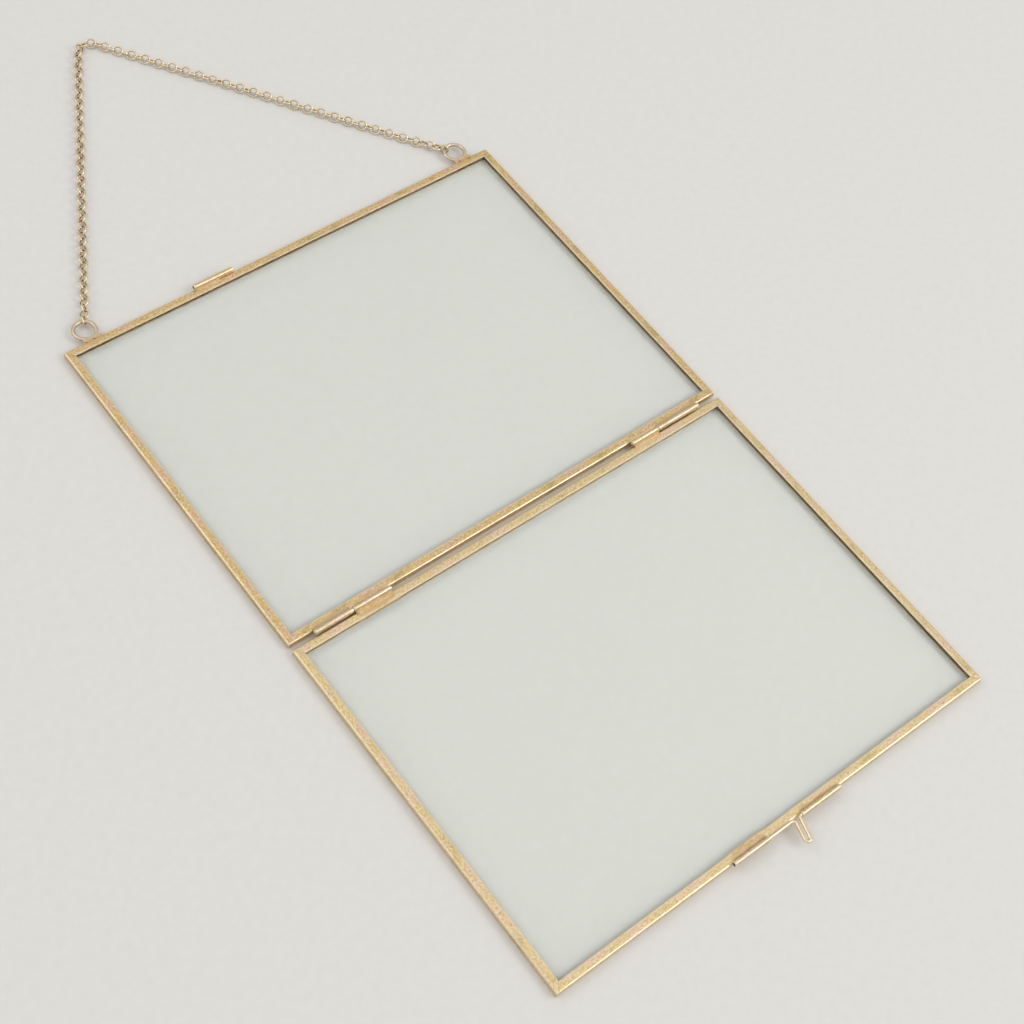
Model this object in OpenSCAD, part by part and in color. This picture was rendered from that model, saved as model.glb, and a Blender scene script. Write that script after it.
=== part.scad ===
// Hinged double glass picture frame: two brass leaves lie open, face up.
// X runs along the hinge line, +Y points to the chain, +Z is up. Sizes are in millimetres.
// The origin is on the surface that the frame lies on, in the middle of its box without the chain.

/* [Leaves] */
// Width of each leaf along the hinge line
leaf_w = 184; // [150:1:260]
// Height of each leaf, square to the hinge line
leaf_h = 136; // [100:1:220]
// Thickness of the glass panes
glass_t = 1.9; // [1.7:0.1:3]
// Thickness of the brass sheet that the rails are folded from
sheet_t = 0.5; // [0.4:0.05:0.55]
// Width of the lips that hold the glass
lip_w = 3; // [2.5:0.1:6]
// Outer radius of the folds along the rails
fold_r = 0.6; // [0.6:0.05:0.75]

/* [Hinges] */
// Diameter of the hinge pins
pin_d = 0.9; // [0.8:0.05:1.2]
// Wall of the hinge knuckles
knuckle_wall = 0.45; // [0.3:0.05:0.5]
// Height of the hinge and bolt axes above the face of the open leaves
axis_rise = 0.75; // [0.6:0.05:0.9]
// Distance from the side of a leaf to its nearer hinge
hinge_inset = 9.3; // [6:0.1:16]
// Length of the left hinge's back knuckle
left_back_len = 15; // [8:0.5:20]
// Length of the left hinge's front knuckle
left_front_len = 15; // [8:0.5:20]
// Length of the right hinge's front knuckle
right_front_len = 12; // [8:0.5:20]
// Length of the right hinge's back knuckle
right_back_len = 19; // [8:0.5:20]

/* [Bolt] */
// Diameter of the bolt's wire
bolt_d = 1.2; // [0.8:0.05:1.2]
// Wall of the guide and keeper tubes
guide_wall = 0.3; // [0.25:0.05:0.5]
// Length of the left guide tube
left_guide_len = 15; // [12:0.5:20]
// Length of the right guide tube
right_guide_len = 17; // [14:0.5:20]
// Space between the guide tubes, where the handle slides
guide_space = 14; // [12:0.5:16]
// Length of the keeper tube
keeper_len = 16.3; // [10:0.1:20]
// Length of the straight legs of the bolt's handle
handle_leg = 6; // [3:0.25:10]
// Lean of the handle from square to the bolt, in degrees
handle_lean = 16; // [0:1:25]

/* [Eyes and chain] */
// Outer diameter of the hanging eyes
eye_d = 9.3; // [8:0.1:12]
// Wire diameter of the hanging eyes
eye_wire = 1.5; // [1:0.1:1.6]
// Space between an eye's ring and the wall that it is soldered to
eye_gap = 0.4; // [0.2:0.1:1.2]
// Distance from the side of the leaf to the middle of its nearer eye
eye_inset = 11.2; // [8:0.1:24]
// Outer diameter of the chain's links
link_d = 4.3; // [4:0.1:5]
// Wire diameter of the chain's links
link_wire = 0.7; // [0.5:0.05:0.75]
// Height of the chain's corner above the middle of the eyes
chain_rise = 122.5; // [80:0.5:160]
// Sideways place of the chain's corner, to the right of the middle
chain_shift = -10; // [-30:1:30]
// Radius of the bend at the chain's corner
chain_bend_r = 5; // [5:0.5:15]

/* [Hidden] */
$fn = 48;

// Overrun of every cut past the face that it opens
cut_over = 1;
// Space between a pane and the lips above and below it
glass_play = 0.05;
// Space between a pane's edge and the rail around it
glass_edge_play = 0.3;
// Set-back of each rail's end at its mitre, which leaves a hairline
mitre_play = 0.03;
// Radial play of a pin or bolt in its tubes
run_play = 0.05;
// Sideways space between a knuckle and the walls on either side, which lie below its axis
hinge_play = 0.1;
// Space between a guide or keeper tube and the fold that it lies on
guide_play = 0.1;
// Space between the ends of two neighbouring knuckles
knuckle_play = 0.2;
// Reach of a hinge pin past its knuckles
pin_proud = 0.3;
// Depth of the solder under each tube, down the wall that it joins
solder_depth = 1;
// Rise of the solder into the tube's wall
solder_sink = 0.15;
// Outline of the solder, as shares of its reach from the tube and of its depth
solder_outline_shares = [[0, 0], [1, 0], [1, -1], [0.55, -0.35], [0, -0.1]];
// Space between the keeper tube and the left guide tube once the leaves are closed
keeper_space = 1.2;
// Space left between the handle and a guide tube at the ends of its travel
handle_play = 0.3;
// Bend radius of the handle where it leaves the bolt
handle_root_r = 0.8;
// Bend radius at the tip of the handle
handle_tip_r = 1;
// Swelling of the wire's diameter where it is bent
bend_swell = 0.02;
// Reach of a straight run of wire into the bend that follows or precedes it
bend_sink = 0.05;
// Set-back of the bolt's ends inside the guide tubes when it is drawn back
bolt_setback = 2;
// Set-back of the solder web from the upper and lower side of an eye's wire
web_set_back = 0.15;
// Angles on an eye's ring between which the web follows it, and their steps
web_from = -130;
web_to = -40;
web_step = 15;
// Ends of the web, as shares of the eye's diameter along the wall and of its middle's height above the wall
web_left_shares = [[-0.36, 0], [-0.32, 0.1], [-0.31, 0.3]];
web_right_shares = [[0.363, 0.4], [0.368, 0.25], [0.395, 0.11], [0.44, 0.03], [0.49, 0]];
// Length at either end of the chain over which it rises to its eye
rise_run = 16;
// Height of the lowest link above the surface
chain_clear = 0.03;
// Slack between neighbouring links, along the chain
link_play = 0.15;
// Slack between an end link and the eye that it hangs on
end_play = 0.25;
// Tilt of the links to either side about the chain, in degrees
link_tilt = 45;

// Thickness of a rail, over both lips
rail_t = glass_t + 2 * sheet_t + 2 * glass_play;
// Height of the hinge and bolt axes, halfway between the closed leaves
axis_z = rail_t + axis_rise;
knuckle_bore = pin_d + 2 * run_play;
knuckle_d = knuckle_bore + 2 * knuckle_wall;
guide_bore = bolt_d + 2 * run_play;
guide_d = guide_bore + 2 * guide_wall;
// Distance from the hinge axis to the leaf on either side
half_gap = knuckle_d / 2 + hinge_play;
// Distance of the bolt axis out from the wall, which rests the tubes on the rounded fold
guide_out = sqrt(pow(fold_r + guide_d / 2 + guide_play, 2) - pow(fold_r + axis_rise, 2)) - fold_r;
// Distance from the hinge axis to the bolt axis
bolt_off = half_gap + leaf_h + guide_out;
// Spread of the handle along the bolt, and its reach away from the bolt's axis
handle_w = 2 * (handle_root_r + handle_tip_r) / cos(handle_lean);
handle_reach = handle_root_r * (1 + sin(handle_lean)) + handle_leg * cos(handle_lean)
             + handle_tip_r * (1 + sin(handle_lean)) + (bolt_d + bend_swell) / 2;
// Distance from the hinge axis to the middle of the eyes
eye_off = half_gap + leaf_h + eye_gap + eye_d / 2;
// Place of the hinge axis that puts the origin in the middle of the box
hinge_y = (bolt_off + handle_reach - eye_off - eye_d / 2) / 2;
bolt_y = hinge_y - bolt_off;
keeper_y = hinge_y + bolt_off;

// Ends of the hinges and of the bolt's tubes
left_hinge_x = -leaf_w / 2 + hinge_inset;
right_hinge_x = leaf_w / 2 - hinge_inset - right_back_len - right_front_len;
left_guide_x = -guide_space / 2 - left_guide_len;
right_guide_x = guide_space / 2;
keeper_x = left_guide_x - keeper_space - keeper_len;
// Places where the handle leaves the straight bolt, and the bolt's two ends
handle_right_x = right_guide_x - handle_play;
handle_left_x = handle_right_x - handle_w;
bolt_left_x = left_guide_x + bolt_setback;
bolt_right_x = right_guide_x + right_guide_len - bolt_setback;

// Link circle, tightest spacing and height of the chain
link_r = (link_d - link_wire) / 2;
link_step = 2 * link_r - link_wire - link_play;
chain_z = link_r * sin(link_tilt) + link_wire / 2 + chain_clear;
eye_r = (eye_d - eye_wire) / 2;
// Height of the eyes' middles, which puts the eyes level with the face of the leaves
eye_z = rail_t - eye_wire / 2;
// The chain runs from the left eye round the corner to the right eye
eye_y = hinge_y + eye_off;
left_eye_at = [-leaf_w / 2 + eye_inset, eye_y];
right_eye_at = [leaf_w / 2 - eye_inset, eye_y];
corner_at = [chain_shift, eye_y + chain_rise];
left_run = corner_at - left_eye_at;
right_run = right_eye_at - corner_at;
left_angle = atan2(left_run.y, left_run.x);
right_angle = atan2(right_run.y, right_run.x);
turn = left_angle - right_angle;
bend_tangent = chain_bend_r * tan(turn / 2);
bend_len = chain_bend_r * turn * PI / 180;
// Distance from the middle of an eye to the middle of its end link
end_off = eye_r + link_r - link_wire / 2 - eye_wire / 2 - end_play;
left_len = norm(left_run) - bend_tangent - end_off;
right_len = norm(right_run) - bend_tangent - end_off;
chain_len = left_len + bend_len + right_len;
link_steps = ceil(chain_len / link_step);
link_pitch = chain_len / link_steps;
apex_index = round((left_len + bend_len / 2) / link_pitch);
bend_start = corner_at - bend_tangent * [cos(left_angle), sin(left_angle)];
bend_middle = bend_start + chain_bend_r * [sin(left_angle), -cos(left_angle)];

// Direction of the chain at a distance along it from the left end link
function chain_angle(s) =
    s < left_len ? left_angle
    : s > left_len + bend_len ? right_angle
    : left_angle - (s - left_len) / chain_bend_r * 180 / PI;

// Place of the chain at that distance
function chain_at(s) =
    s < left_len ? left_eye_at + (end_off + s) * [cos(left_angle), sin(left_angle)]
    : s > left_len + bend_len
        ? right_eye_at - (end_off + chain_len - s) * [cos(right_angle), sin(right_angle)]
    : bend_middle + chain_bend_r * [-sin(chain_angle(s)), cos(chain_angle(s))];

// Height of the chain at that distance
function chain_height(s) =
    chain_z + (eye_z - chain_z) * max(0, 1 - s / rise_run, 1 - (chain_len - s) / rise_run);

module brass() color([0.78, 0.68, 0.47]) children();
module pale_brass() color([0.84, 0.77, 0.60]) children();
module clear_glass() color([0.80, 0.86, 0.84, 0.35]) children();

// Slab whose two corners on the left side are rounded
module rounded_slab(w, h, r) {
    translate([r, 0])
        square([w - r, h]);
    translate([0, r])
        square([w, h - 2 * r]);
    translate([r, r])
        circle(r);
    translate([r, h - r])
        circle(r);
}

// Cross-section of a rail: a folded channel that opens to the right
module rail_profile() {
    slot_h = rail_t - 2 * sheet_t;
    difference() {
        rounded_slab(lip_w, rail_t, fold_r);
        translate([sheet_t, sheet_t])
            rounded_slab(lip_w - sheet_t + cut_over, slot_h, fold_r - sheet_t);
    }
}

// Rail along +X from the corner at the origin, with mitred ends and its channel open to +Y
module rail(len) {
    brass()
    intersection() {
        rotate([90, 0, 90])
            linear_extrude(len)
                rail_profile();
        translate([0, 0, -cut_over])
            linear_extrude(rail_t + 2 * cut_over)
                polygon([[mitre_play - cut_over, -cut_over],
                         [len - mitre_play + cut_over, -cut_over],
                         [len - mitre_play - lip_w - cut_over, lip_w + cut_over],
                         [mitre_play + lip_w + cut_over, lip_w + cut_over]]);
    }
}

// The four sides of a leaf whose hinge edge lies along X at the origin
module hinge_side() translate([-leaf_w / 2, 0, 0]) rail(leaf_w);
module far_side() translate([leaf_w / 2, leaf_h, 0]) rotate([0, 0, 180]) rail(leaf_w);
module left_side() translate([-leaf_w / 2, leaf_h, 0]) rotate([0, 0, -90]) rail(leaf_h);
module right_side() translate([leaf_w / 2, 0, 0]) rotate([0, 0, 90]) rail(leaf_h);

// Pane that fills a leaf's channels, less its play
module pane() {
    inset = sheet_t + glass_edge_play;
    clear_glass()
        translate([-leaf_w / 2 + inset, inset, sheet_t + glass_play])
            cube([leaf_w - 2 * inset, leaf_h - 2 * inset, glass_t]);
}

// Puts a leaf behind or in front of the hinge axis
module on_back() translate([0, hinge_y + half_gap, 0]) children();
module on_front() translate([0, hinge_y - half_gap, 0]) rotate([0, 0, 180]) children();

module back_hinge_rail() on_back() hinge_side();
module back_top_rail() on_back() far_side();
module back_left_rail() on_back() left_side();
module back_right_rail() on_back() right_side();
module back_glass() on_back() pane();
module front_hinge_rail() on_front() hinge_side();
module front_free_rail() on_front() far_side();
module front_left_rail() on_front() right_side();
module front_right_rail() on_front() left_side();
module front_glass() on_front() pane();

// Cylinder along +X from the origin
module bar(len, d) {
    rotate([0, 90, 0])
        cylinder(h = len, d = d);
}

// Tube along +X, soldered to a wall at a distance: side is 1 for a wall toward +Y, -1 for one toward -Y
module soldered_tube(len, d, bore, reach, side) {
    brass()
    difference() {
        union() {
            bar(len, d);
            translate([0, 0, solder_sink - d / 2])
                rotate([90, 0, 90])
                    linear_extrude(len)
                        polygon([for (p = solder_outline_shares) [side * p.x * reach, p.y * solder_depth]]);
        }
        translate([-cut_over, 0, 0])
            bar(len + 2 * cut_over, bore);
    }
}

// Knuckle on the hinge axis, from x, soldered to the back leaf (side 1) or the front leaf (side -1)
module knuckle(x, len, side) {
    translate([x, hinge_y, axis_z])
        soldered_tube(len, knuckle_d, knuckle_bore, half_gap, side);
}

module left_back_knuckle() knuckle(left_hinge_x, left_back_len - knuckle_play / 2, 1);
module left_front_knuckle() {
    knuckle(left_hinge_x + left_back_len + knuckle_play / 2, left_front_len - knuckle_play / 2, -1);
}
module right_front_knuckle() knuckle(right_hinge_x, right_front_len - knuckle_play / 2, -1);
module right_back_knuckle() {
    knuckle(right_hinge_x + right_front_len + knuckle_play / 2, right_back_len - knuckle_play / 2, 1);
}

// Pin through both knuckles of a hinge
module hinge_pin(x, len) {
    pale_brass()
        translate([x - pin_proud, hinge_y, axis_z])
            bar(len + 2 * pin_proud, pin_d);
}

module left_hinge_pin() hinge_pin(left_hinge_x, left_back_len + left_front_len);
module right_hinge_pin() hinge_pin(right_hinge_x, right_front_len + right_back_len);

// Tubes of the bolt: the keeper is on the back leaf's top rail, the guides on the front leaf's free rail
module keeper_tube() {
    translate([keeper_x, keeper_y, axis_z])
        soldered_tube(keeper_len, guide_d, guide_bore, guide_out, -1);
}
module left_guide_tube() {
    translate([left_guide_x, bolt_y, axis_z])
        soldered_tube(left_guide_len, guide_d, guide_bore, guide_out, 1);
}
module right_guide_tube() {
    translate([right_guide_x, bolt_y, axis_z])
        soldered_tube(right_guide_len, guide_d, guide_bore, guide_out, 1);
}

// Bend of wire that sets off along +X from the origin and turns to the left, or to the right if negative
module wire_bend(d, r, turn) {
    mirror([0, turn < 0 ? 1 : 0, 0])
        translate([0, r, 0])
            rotate([0, 0, -90])
                rotate_extrude(angle = abs(turn))
                    translate([r, 0])
                        circle(d = d + bend_swell);
}

// Wire from the origin along +X: each run is its straight length, then the radius and turn of its bend
module bent_wire(d, runs, i = 0) {
    run = runs[i];
    centre_y = sign(run[2]) * run[1];
    start = i > 0 ? -bend_sink : 0;
    end = i < len(runs) - 1 ? run[0] + bend_sink : run[0];
    translate([start, 0, 0])
        bar(end - start, d);
    if (i < len(runs) - 1)
        translate([run[0], 0, 0]) {
            wire_bend(d, run[1], run[2]);
            translate([0, centre_y, 0])
                rotate([0, 0, run[2]])
                    translate([0, -centre_y, 0])
                        bent_wire(d, runs, i + 1);
        }
}

// Bolt of one wire: straight ends in the guides, and a hairpin handle that leans to the left
module slide_bolt() {
    right_leg = handle_leg + 2 * (handle_root_r + handle_tip_r) * tan(handle_lean);
    runs = [[handle_left_x - bolt_left_x, handle_root_r, -90 - handle_lean],
            [handle_leg, handle_tip_r, 180],
            [right_leg, handle_root_r, handle_lean - 90],
            [bolt_right_x - handle_right_x, 0, 0]];
    pale_brass()
        translate([bolt_left_x, bolt_y, axis_z])
            bent_wire(bolt_d, runs);
}

// Ring of wire flat in the XY plane about the origin
module ring(r, wire) {
    rotate_extrude()
        translate([r, 0])
            circle(d = wire);
}

// Eye: a ring of wire beside the wall, and the web of solder that holds it there
module eye(at) {
    rise = eye_gap + eye_d / 2;
    web_t = eye_wire - 2 * web_set_back;
    pale_brass()
    translate([at.x, at.y, eye_z]) {
        ring(eye_r, eye_wire);
        translate([0, 0, -web_t / 2])
            linear_extrude(web_t)
                polygon(concat(
                    [for (p = web_left_shares) [p.x * eye_d, (p.y - 1) * rise]],
                    [for (a = [web_from:web_step:web_to]) eye_r * [cos(a), sin(a)]],
                    [for (p = web_right_shares) [p.x * eye_d, (p.y - 1) * rise]]));
    }
}

module left_eye() eye(left_eye_at);
module right_eye() eye(right_eye_at);

// One round link of the chain, tilted to one side or the other by turns
module link(i) {
    s = i * link_pitch;
    at = chain_at(s);
    translate([at.x, at.y, chain_height(s)])
        rotate([0, 0, chain_angle(s)])
            rotate([i % 2 == 0 ? link_tilt : -link_tilt, 0, 0])
                ring(link_r, link_wire);
}

// Run of links from one index to another, each threaded through the next
module links(first, last) {
    pale_brass()
        for (i = [first:last])
            link(i);
}

module left_end_link() links(0, 0);
module left_chain_strand() links(1, apex_index - 1);
module apex_link() links(apex_index, apex_index);
module right_chain_strand() links(apex_index + 1, link_steps - 1);
module right_end_link() links(link_steps, link_steps);

back_hinge_rail();
back_top_rail();
back_left_rail();
back_right_rail();
back_glass();
front_hinge_rail();
front_free_rail();
front_left_rail();
front_right_rail();
front_glass();
left_back_knuckle();
left_front_knuckle();
right_front_knuckle();
right_back_knuckle();
left_hinge_pin();
right_hinge_pin();
keeper_tube();
left_guide_tube();
right_guide_tube();
slide_bolt();
left_eye();
right_eye();
left_end_link();
left_chain_strand();
apex_link();
right_chain_strand();
right_end_link();
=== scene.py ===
"""Glass picture frame, lying open: two hinged leaves of folded brass channel, their glass, a bolt and a hanging chain.

Everything is in metres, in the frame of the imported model: X runs along the hinge, +Y points to the chain and +Z is up.
"""

import logging
import math
from dataclasses import dataclass, field
from enum import Enum
from typing import Any, Sequence

import bpy
import numpy as np
from mathutils import Matrix, Vector, noise


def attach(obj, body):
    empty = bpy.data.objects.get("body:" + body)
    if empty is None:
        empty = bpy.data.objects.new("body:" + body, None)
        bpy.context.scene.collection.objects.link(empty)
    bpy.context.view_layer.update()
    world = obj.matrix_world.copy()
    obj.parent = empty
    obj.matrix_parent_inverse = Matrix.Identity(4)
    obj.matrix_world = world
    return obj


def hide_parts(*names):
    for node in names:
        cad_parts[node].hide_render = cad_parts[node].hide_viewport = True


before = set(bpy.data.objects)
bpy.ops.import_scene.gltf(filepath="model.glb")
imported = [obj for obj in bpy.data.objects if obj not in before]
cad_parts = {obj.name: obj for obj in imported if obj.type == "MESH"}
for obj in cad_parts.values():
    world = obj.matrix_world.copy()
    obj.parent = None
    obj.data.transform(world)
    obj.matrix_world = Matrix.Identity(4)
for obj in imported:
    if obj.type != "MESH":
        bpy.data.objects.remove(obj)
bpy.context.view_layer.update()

MM = 0.001
log = logging.getLogger("glass_picture_frame")

Point = tuple[float, float, float]
Colour = tuple[float, float, float, float]


class Body(Enum):
    """The moving parts that a piece can ride on."""

    BACK = "back_leaf"
    FRONT = "front_leaf"
    BOLT = "bolt"


class Edge(Enum):
    """The four edges of a leaf, seen with its hinge edge along X at the origin."""

    HINGE = "hinge"
    FAR = "far"
    LEFT = "left"
    RIGHT = "right"


@dataclass(frozen=True)
class Plan:
    """Sizes that the pieces share and the places that follow from them, as in the part's source."""

    leaf_w: float = 184 * MM
    leaf_h: float = 136 * MM
    glass_t: float = 1.9 * MM
    sheet_t: float = 0.5 * MM
    lip_w: float = 3.0 * MM
    fold_r: float = 0.6 * MM
    glass_play: float = 0.05 * MM
    axis_rise: float = 0.75 * MM
    pin_d: float = 0.9 * MM
    bolt_d: float = 1.2 * MM
    run_play: float = 0.05 * MM
    knuckle_wall: float = 0.45 * MM
    guide_wall: float = 0.3 * MM
    hinge_play: float = 0.1 * MM
    guide_play: float = 0.1 * MM
    handle_leg: float = 6 * MM
    handle_lean: float = math.radians(16)
    handle_root_r: float = 0.8 * MM
    handle_tip_r: float = 1.0 * MM
    bend_swell: float = 0.02 * MM
    handle_right: float = 6.7 * MM
    eye_d: float = 9.3 * MM
    eye_wire: float = 1.5 * MM
    eye_gap: float = 0.4 * MM
    eye_inset: float = 11.2 * MM
    link_d: float = 4.3 * MM
    link_wire: float = 0.7 * MM
    link_play: float = 0.15 * MM
    end_play: float = 0.25 * MM
    link_tilt: float = math.radians(45)
    chain_clear: float = 0.03 * MM
    chain_rise: float = 122.5 * MM
    chain_shift: float = -10 * MM
    bend_r: float = 5 * MM
    rise_run: float = 16 * MM

    @property
    def rail_t(self) -> float:
        """Thickness of a rail, over both lips."""
        return self.glass_t + 2 * self.sheet_t + 2 * self.glass_play

    @property
    def axis_z(self) -> float:
        """Height of the hinge and bolt axes."""
        return self.rail_t + self.axis_rise

    @property
    def knuckle_d(self) -> float:
        """Outer diameter of the hinge knuckles."""
        return self.pin_d + 2 * self.run_play + 2 * self.knuckle_wall

    @property
    def guide_d(self) -> float:
        """Outer diameter of the bolt's tubes."""
        return self.bolt_d + 2 * self.run_play + 2 * self.guide_wall

    @property
    def half_gap(self) -> float:
        """Distance from the hinge axis to the leaf on either side."""
        return self.knuckle_d / 2 + self.hinge_play

    @property
    def guide_out(self) -> float:
        """Distance of the bolt's axis out from the wall."""
        slant = self.fold_r + self.guide_d / 2 + self.guide_play
        return math.sqrt(slant ** 2 - (self.fold_r + self.axis_rise) ** 2) - self.fold_r

    @property
    def bolt_off(self) -> float:
        """Distance from the hinge axis to the bolt's axis."""
        return self.half_gap + self.leaf_h + self.guide_out

    @property
    def handle_left(self) -> float:
        """Place where the bolt's left end turns into the handle."""
        return self.handle_right - 2 * (self.handle_root_r + self.handle_tip_r) / math.cos(self.handle_lean)

    @property
    def eye_off(self) -> float:
        """Distance from the hinge axis to the middle of the eyes."""
        return self.half_gap + self.leaf_h + self.eye_gap + self.eye_d / 2

    @property
    def hinge_y(self) -> float:
        """Place of the hinge axis that puts the origin in the middle of the box.

        Returns:
            The axis's Y.
        """
        bends = (self.handle_root_r + self.handle_tip_r) * (1 + math.sin(self.handle_lean))
        reach = bends + self.handle_leg * math.cos(self.handle_lean) + (self.bolt_d + self.bend_swell) / 2
        return (self.bolt_off + reach - self.eye_off - self.eye_d / 2) / 2

    @property
    def eye_at(self) -> Point:
        """Middle of the right eye, level with the face of the leaves."""
        return self.leaf_w / 2 - self.eye_inset, self.hinge_y + self.eye_off, self.rail_t - self.eye_wire / 2

    @property
    def chain_z(self) -> float:
        """Height of the chain where it lies on the surface."""
        return (self.link_d - self.link_wire) / 2 * math.sin(self.link_tilt) + self.link_wire / 2 + self.chain_clear


PLAN = Plan()
# Distances from a wire's end to the points that round it off, and the share of its thickness at the first two
END_OFFSETS = (0.0, 0.05 * MM, 0.14 * MM, 0.5 * MM)
RUBBED_END = (0.55, 0.84)


def linear(hex_colour: str) -> Colour:
    """Turns an sRGB colour into the linear one that the shaders use.

    Args:
        hex_colour: The colour as six hex digits after a hash sign.

    Returns:
        Linear red, green and blue, and an alpha of 1.
    """
    parts = [int(hex_colour[i:i + 2], 16) / 255 for i in (1, 3, 5)]
    red, green, blue = (p / 12.92 if p <= 0.04045 else ((p + 0.055) / 1.055) ** 2.4 for p in parts)
    return red, green, blue, 1.0


def add(tree: bpy.types.NodeTree, kind: str, inputs: dict[str, Any] | None = None, **settings: Any) -> bpy.types.Node:
    """Adds a node with its settings, values and links.

    Args:
        tree: The node tree that it goes in.
        kind: The node's type.
        inputs: A value, or another node's output, for each input by its identifier or name.
        settings: The node's own properties.

    Returns:
        The new node.
    """
    node = tree.nodes.new(kind)
    for name, value in settings.items():
        setattr(node, name, value)
    for name, value in (inputs or {}).items():
        socket = next((s for s in node.inputs if s.identifier == name), None) or node.inputs[name]
        if isinstance(value, bpy.types.NodeSocket):
            tree.links.new(value, socket)
        else:
            socket.default_value = value
    return node


def output(node: bpy.types.Node, identifier: str) -> bpy.types.NodeSocket:
    """Returns a node's output by its identifier."""
    return next(s for s in node.outputs if s.identifier == identifier)


def layered(tree: bpy.types.NodeTree, colour: Any, layers: Sequence[tuple[Any, float, float, float, str]]) -> Any:
    """Lays tints over a colour, each where its pattern's value goes from one level to another.

    Args:
        tree: The material's node tree.
        colour: The lowest colour.
        layers: Each tint's pattern, the level where it begins, the level where it is full, its share there, and the
            tint as hex.

    Returns:
        The finished colour's output.
    """
    for pattern, begins, full, most, tint in layers:
        share = add(tree, "ShaderNodeMapRange",
                    {"Value": pattern, "From Min": begins, "From Max": full, "To Max": most})
        mix = add(tree, "ShaderNodeMix", {"Factor_Float": output(share, "Result"), "A_Color": colour,
                                          "B_Color": linear(tint)}, data_type="RGBA")
        colour = output(mix, "Result_Color")
    return colour


def fresh_material(name: str) -> tuple[bpy.types.Material, bpy.types.Node]:
    """Starts a material with only its output and one principled shader.

    Args:
        name: The material's name.

    Returns:
        The material and its shader node.
    """
    material = bpy.data.materials.new(name)
    material.use_nodes = True
    material.node_tree.nodes.clear()
    shader = add(material.node_tree, "ShaderNodeBsdfPrincipled")
    add(material.node_tree, "ShaderNodeOutputMaterial", {"Surface": shader.outputs["BSDF"]})
    return material, shader


def make_metal(tree: bpy.types.NodeTree, shader: bpy.types.Node, colour: Any, patchy: Any,
               roughness: tuple[float, float], relief: tuple[Any, float, float]) -> None:
    """Makes a shader bare metal whose roughness follows a pattern.

    Args:
        tree: The material's node tree.
        shader: Its principled shader.
        colour: The colour's output.
        patchy: The pattern that the roughness follows.
        roughness: The least and the most roughness.
        relief: The fine relief's height, its strength and its depth in metres.
    """
    rough = add(tree, "ShaderNodeMapRange", {"Value": patchy, "From Min": 0.35, "From Max": 0.65,
                                             "To Min": roughness[0], "To Max": roughness[1]})
    bump = add(tree, "ShaderNodeBump", {"Height": relief[0], "Strength": relief[1], "Distance": relief[2]})
    shader.inputs["Metallic"].default_value = 1.0
    for name, value in (("Base Color", colour), ("Roughness", output(rough, "Result")),
                        ("Normal", bump.outputs["Normal"])):
        tree.links.new(value, shader.inputs[name])


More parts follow.
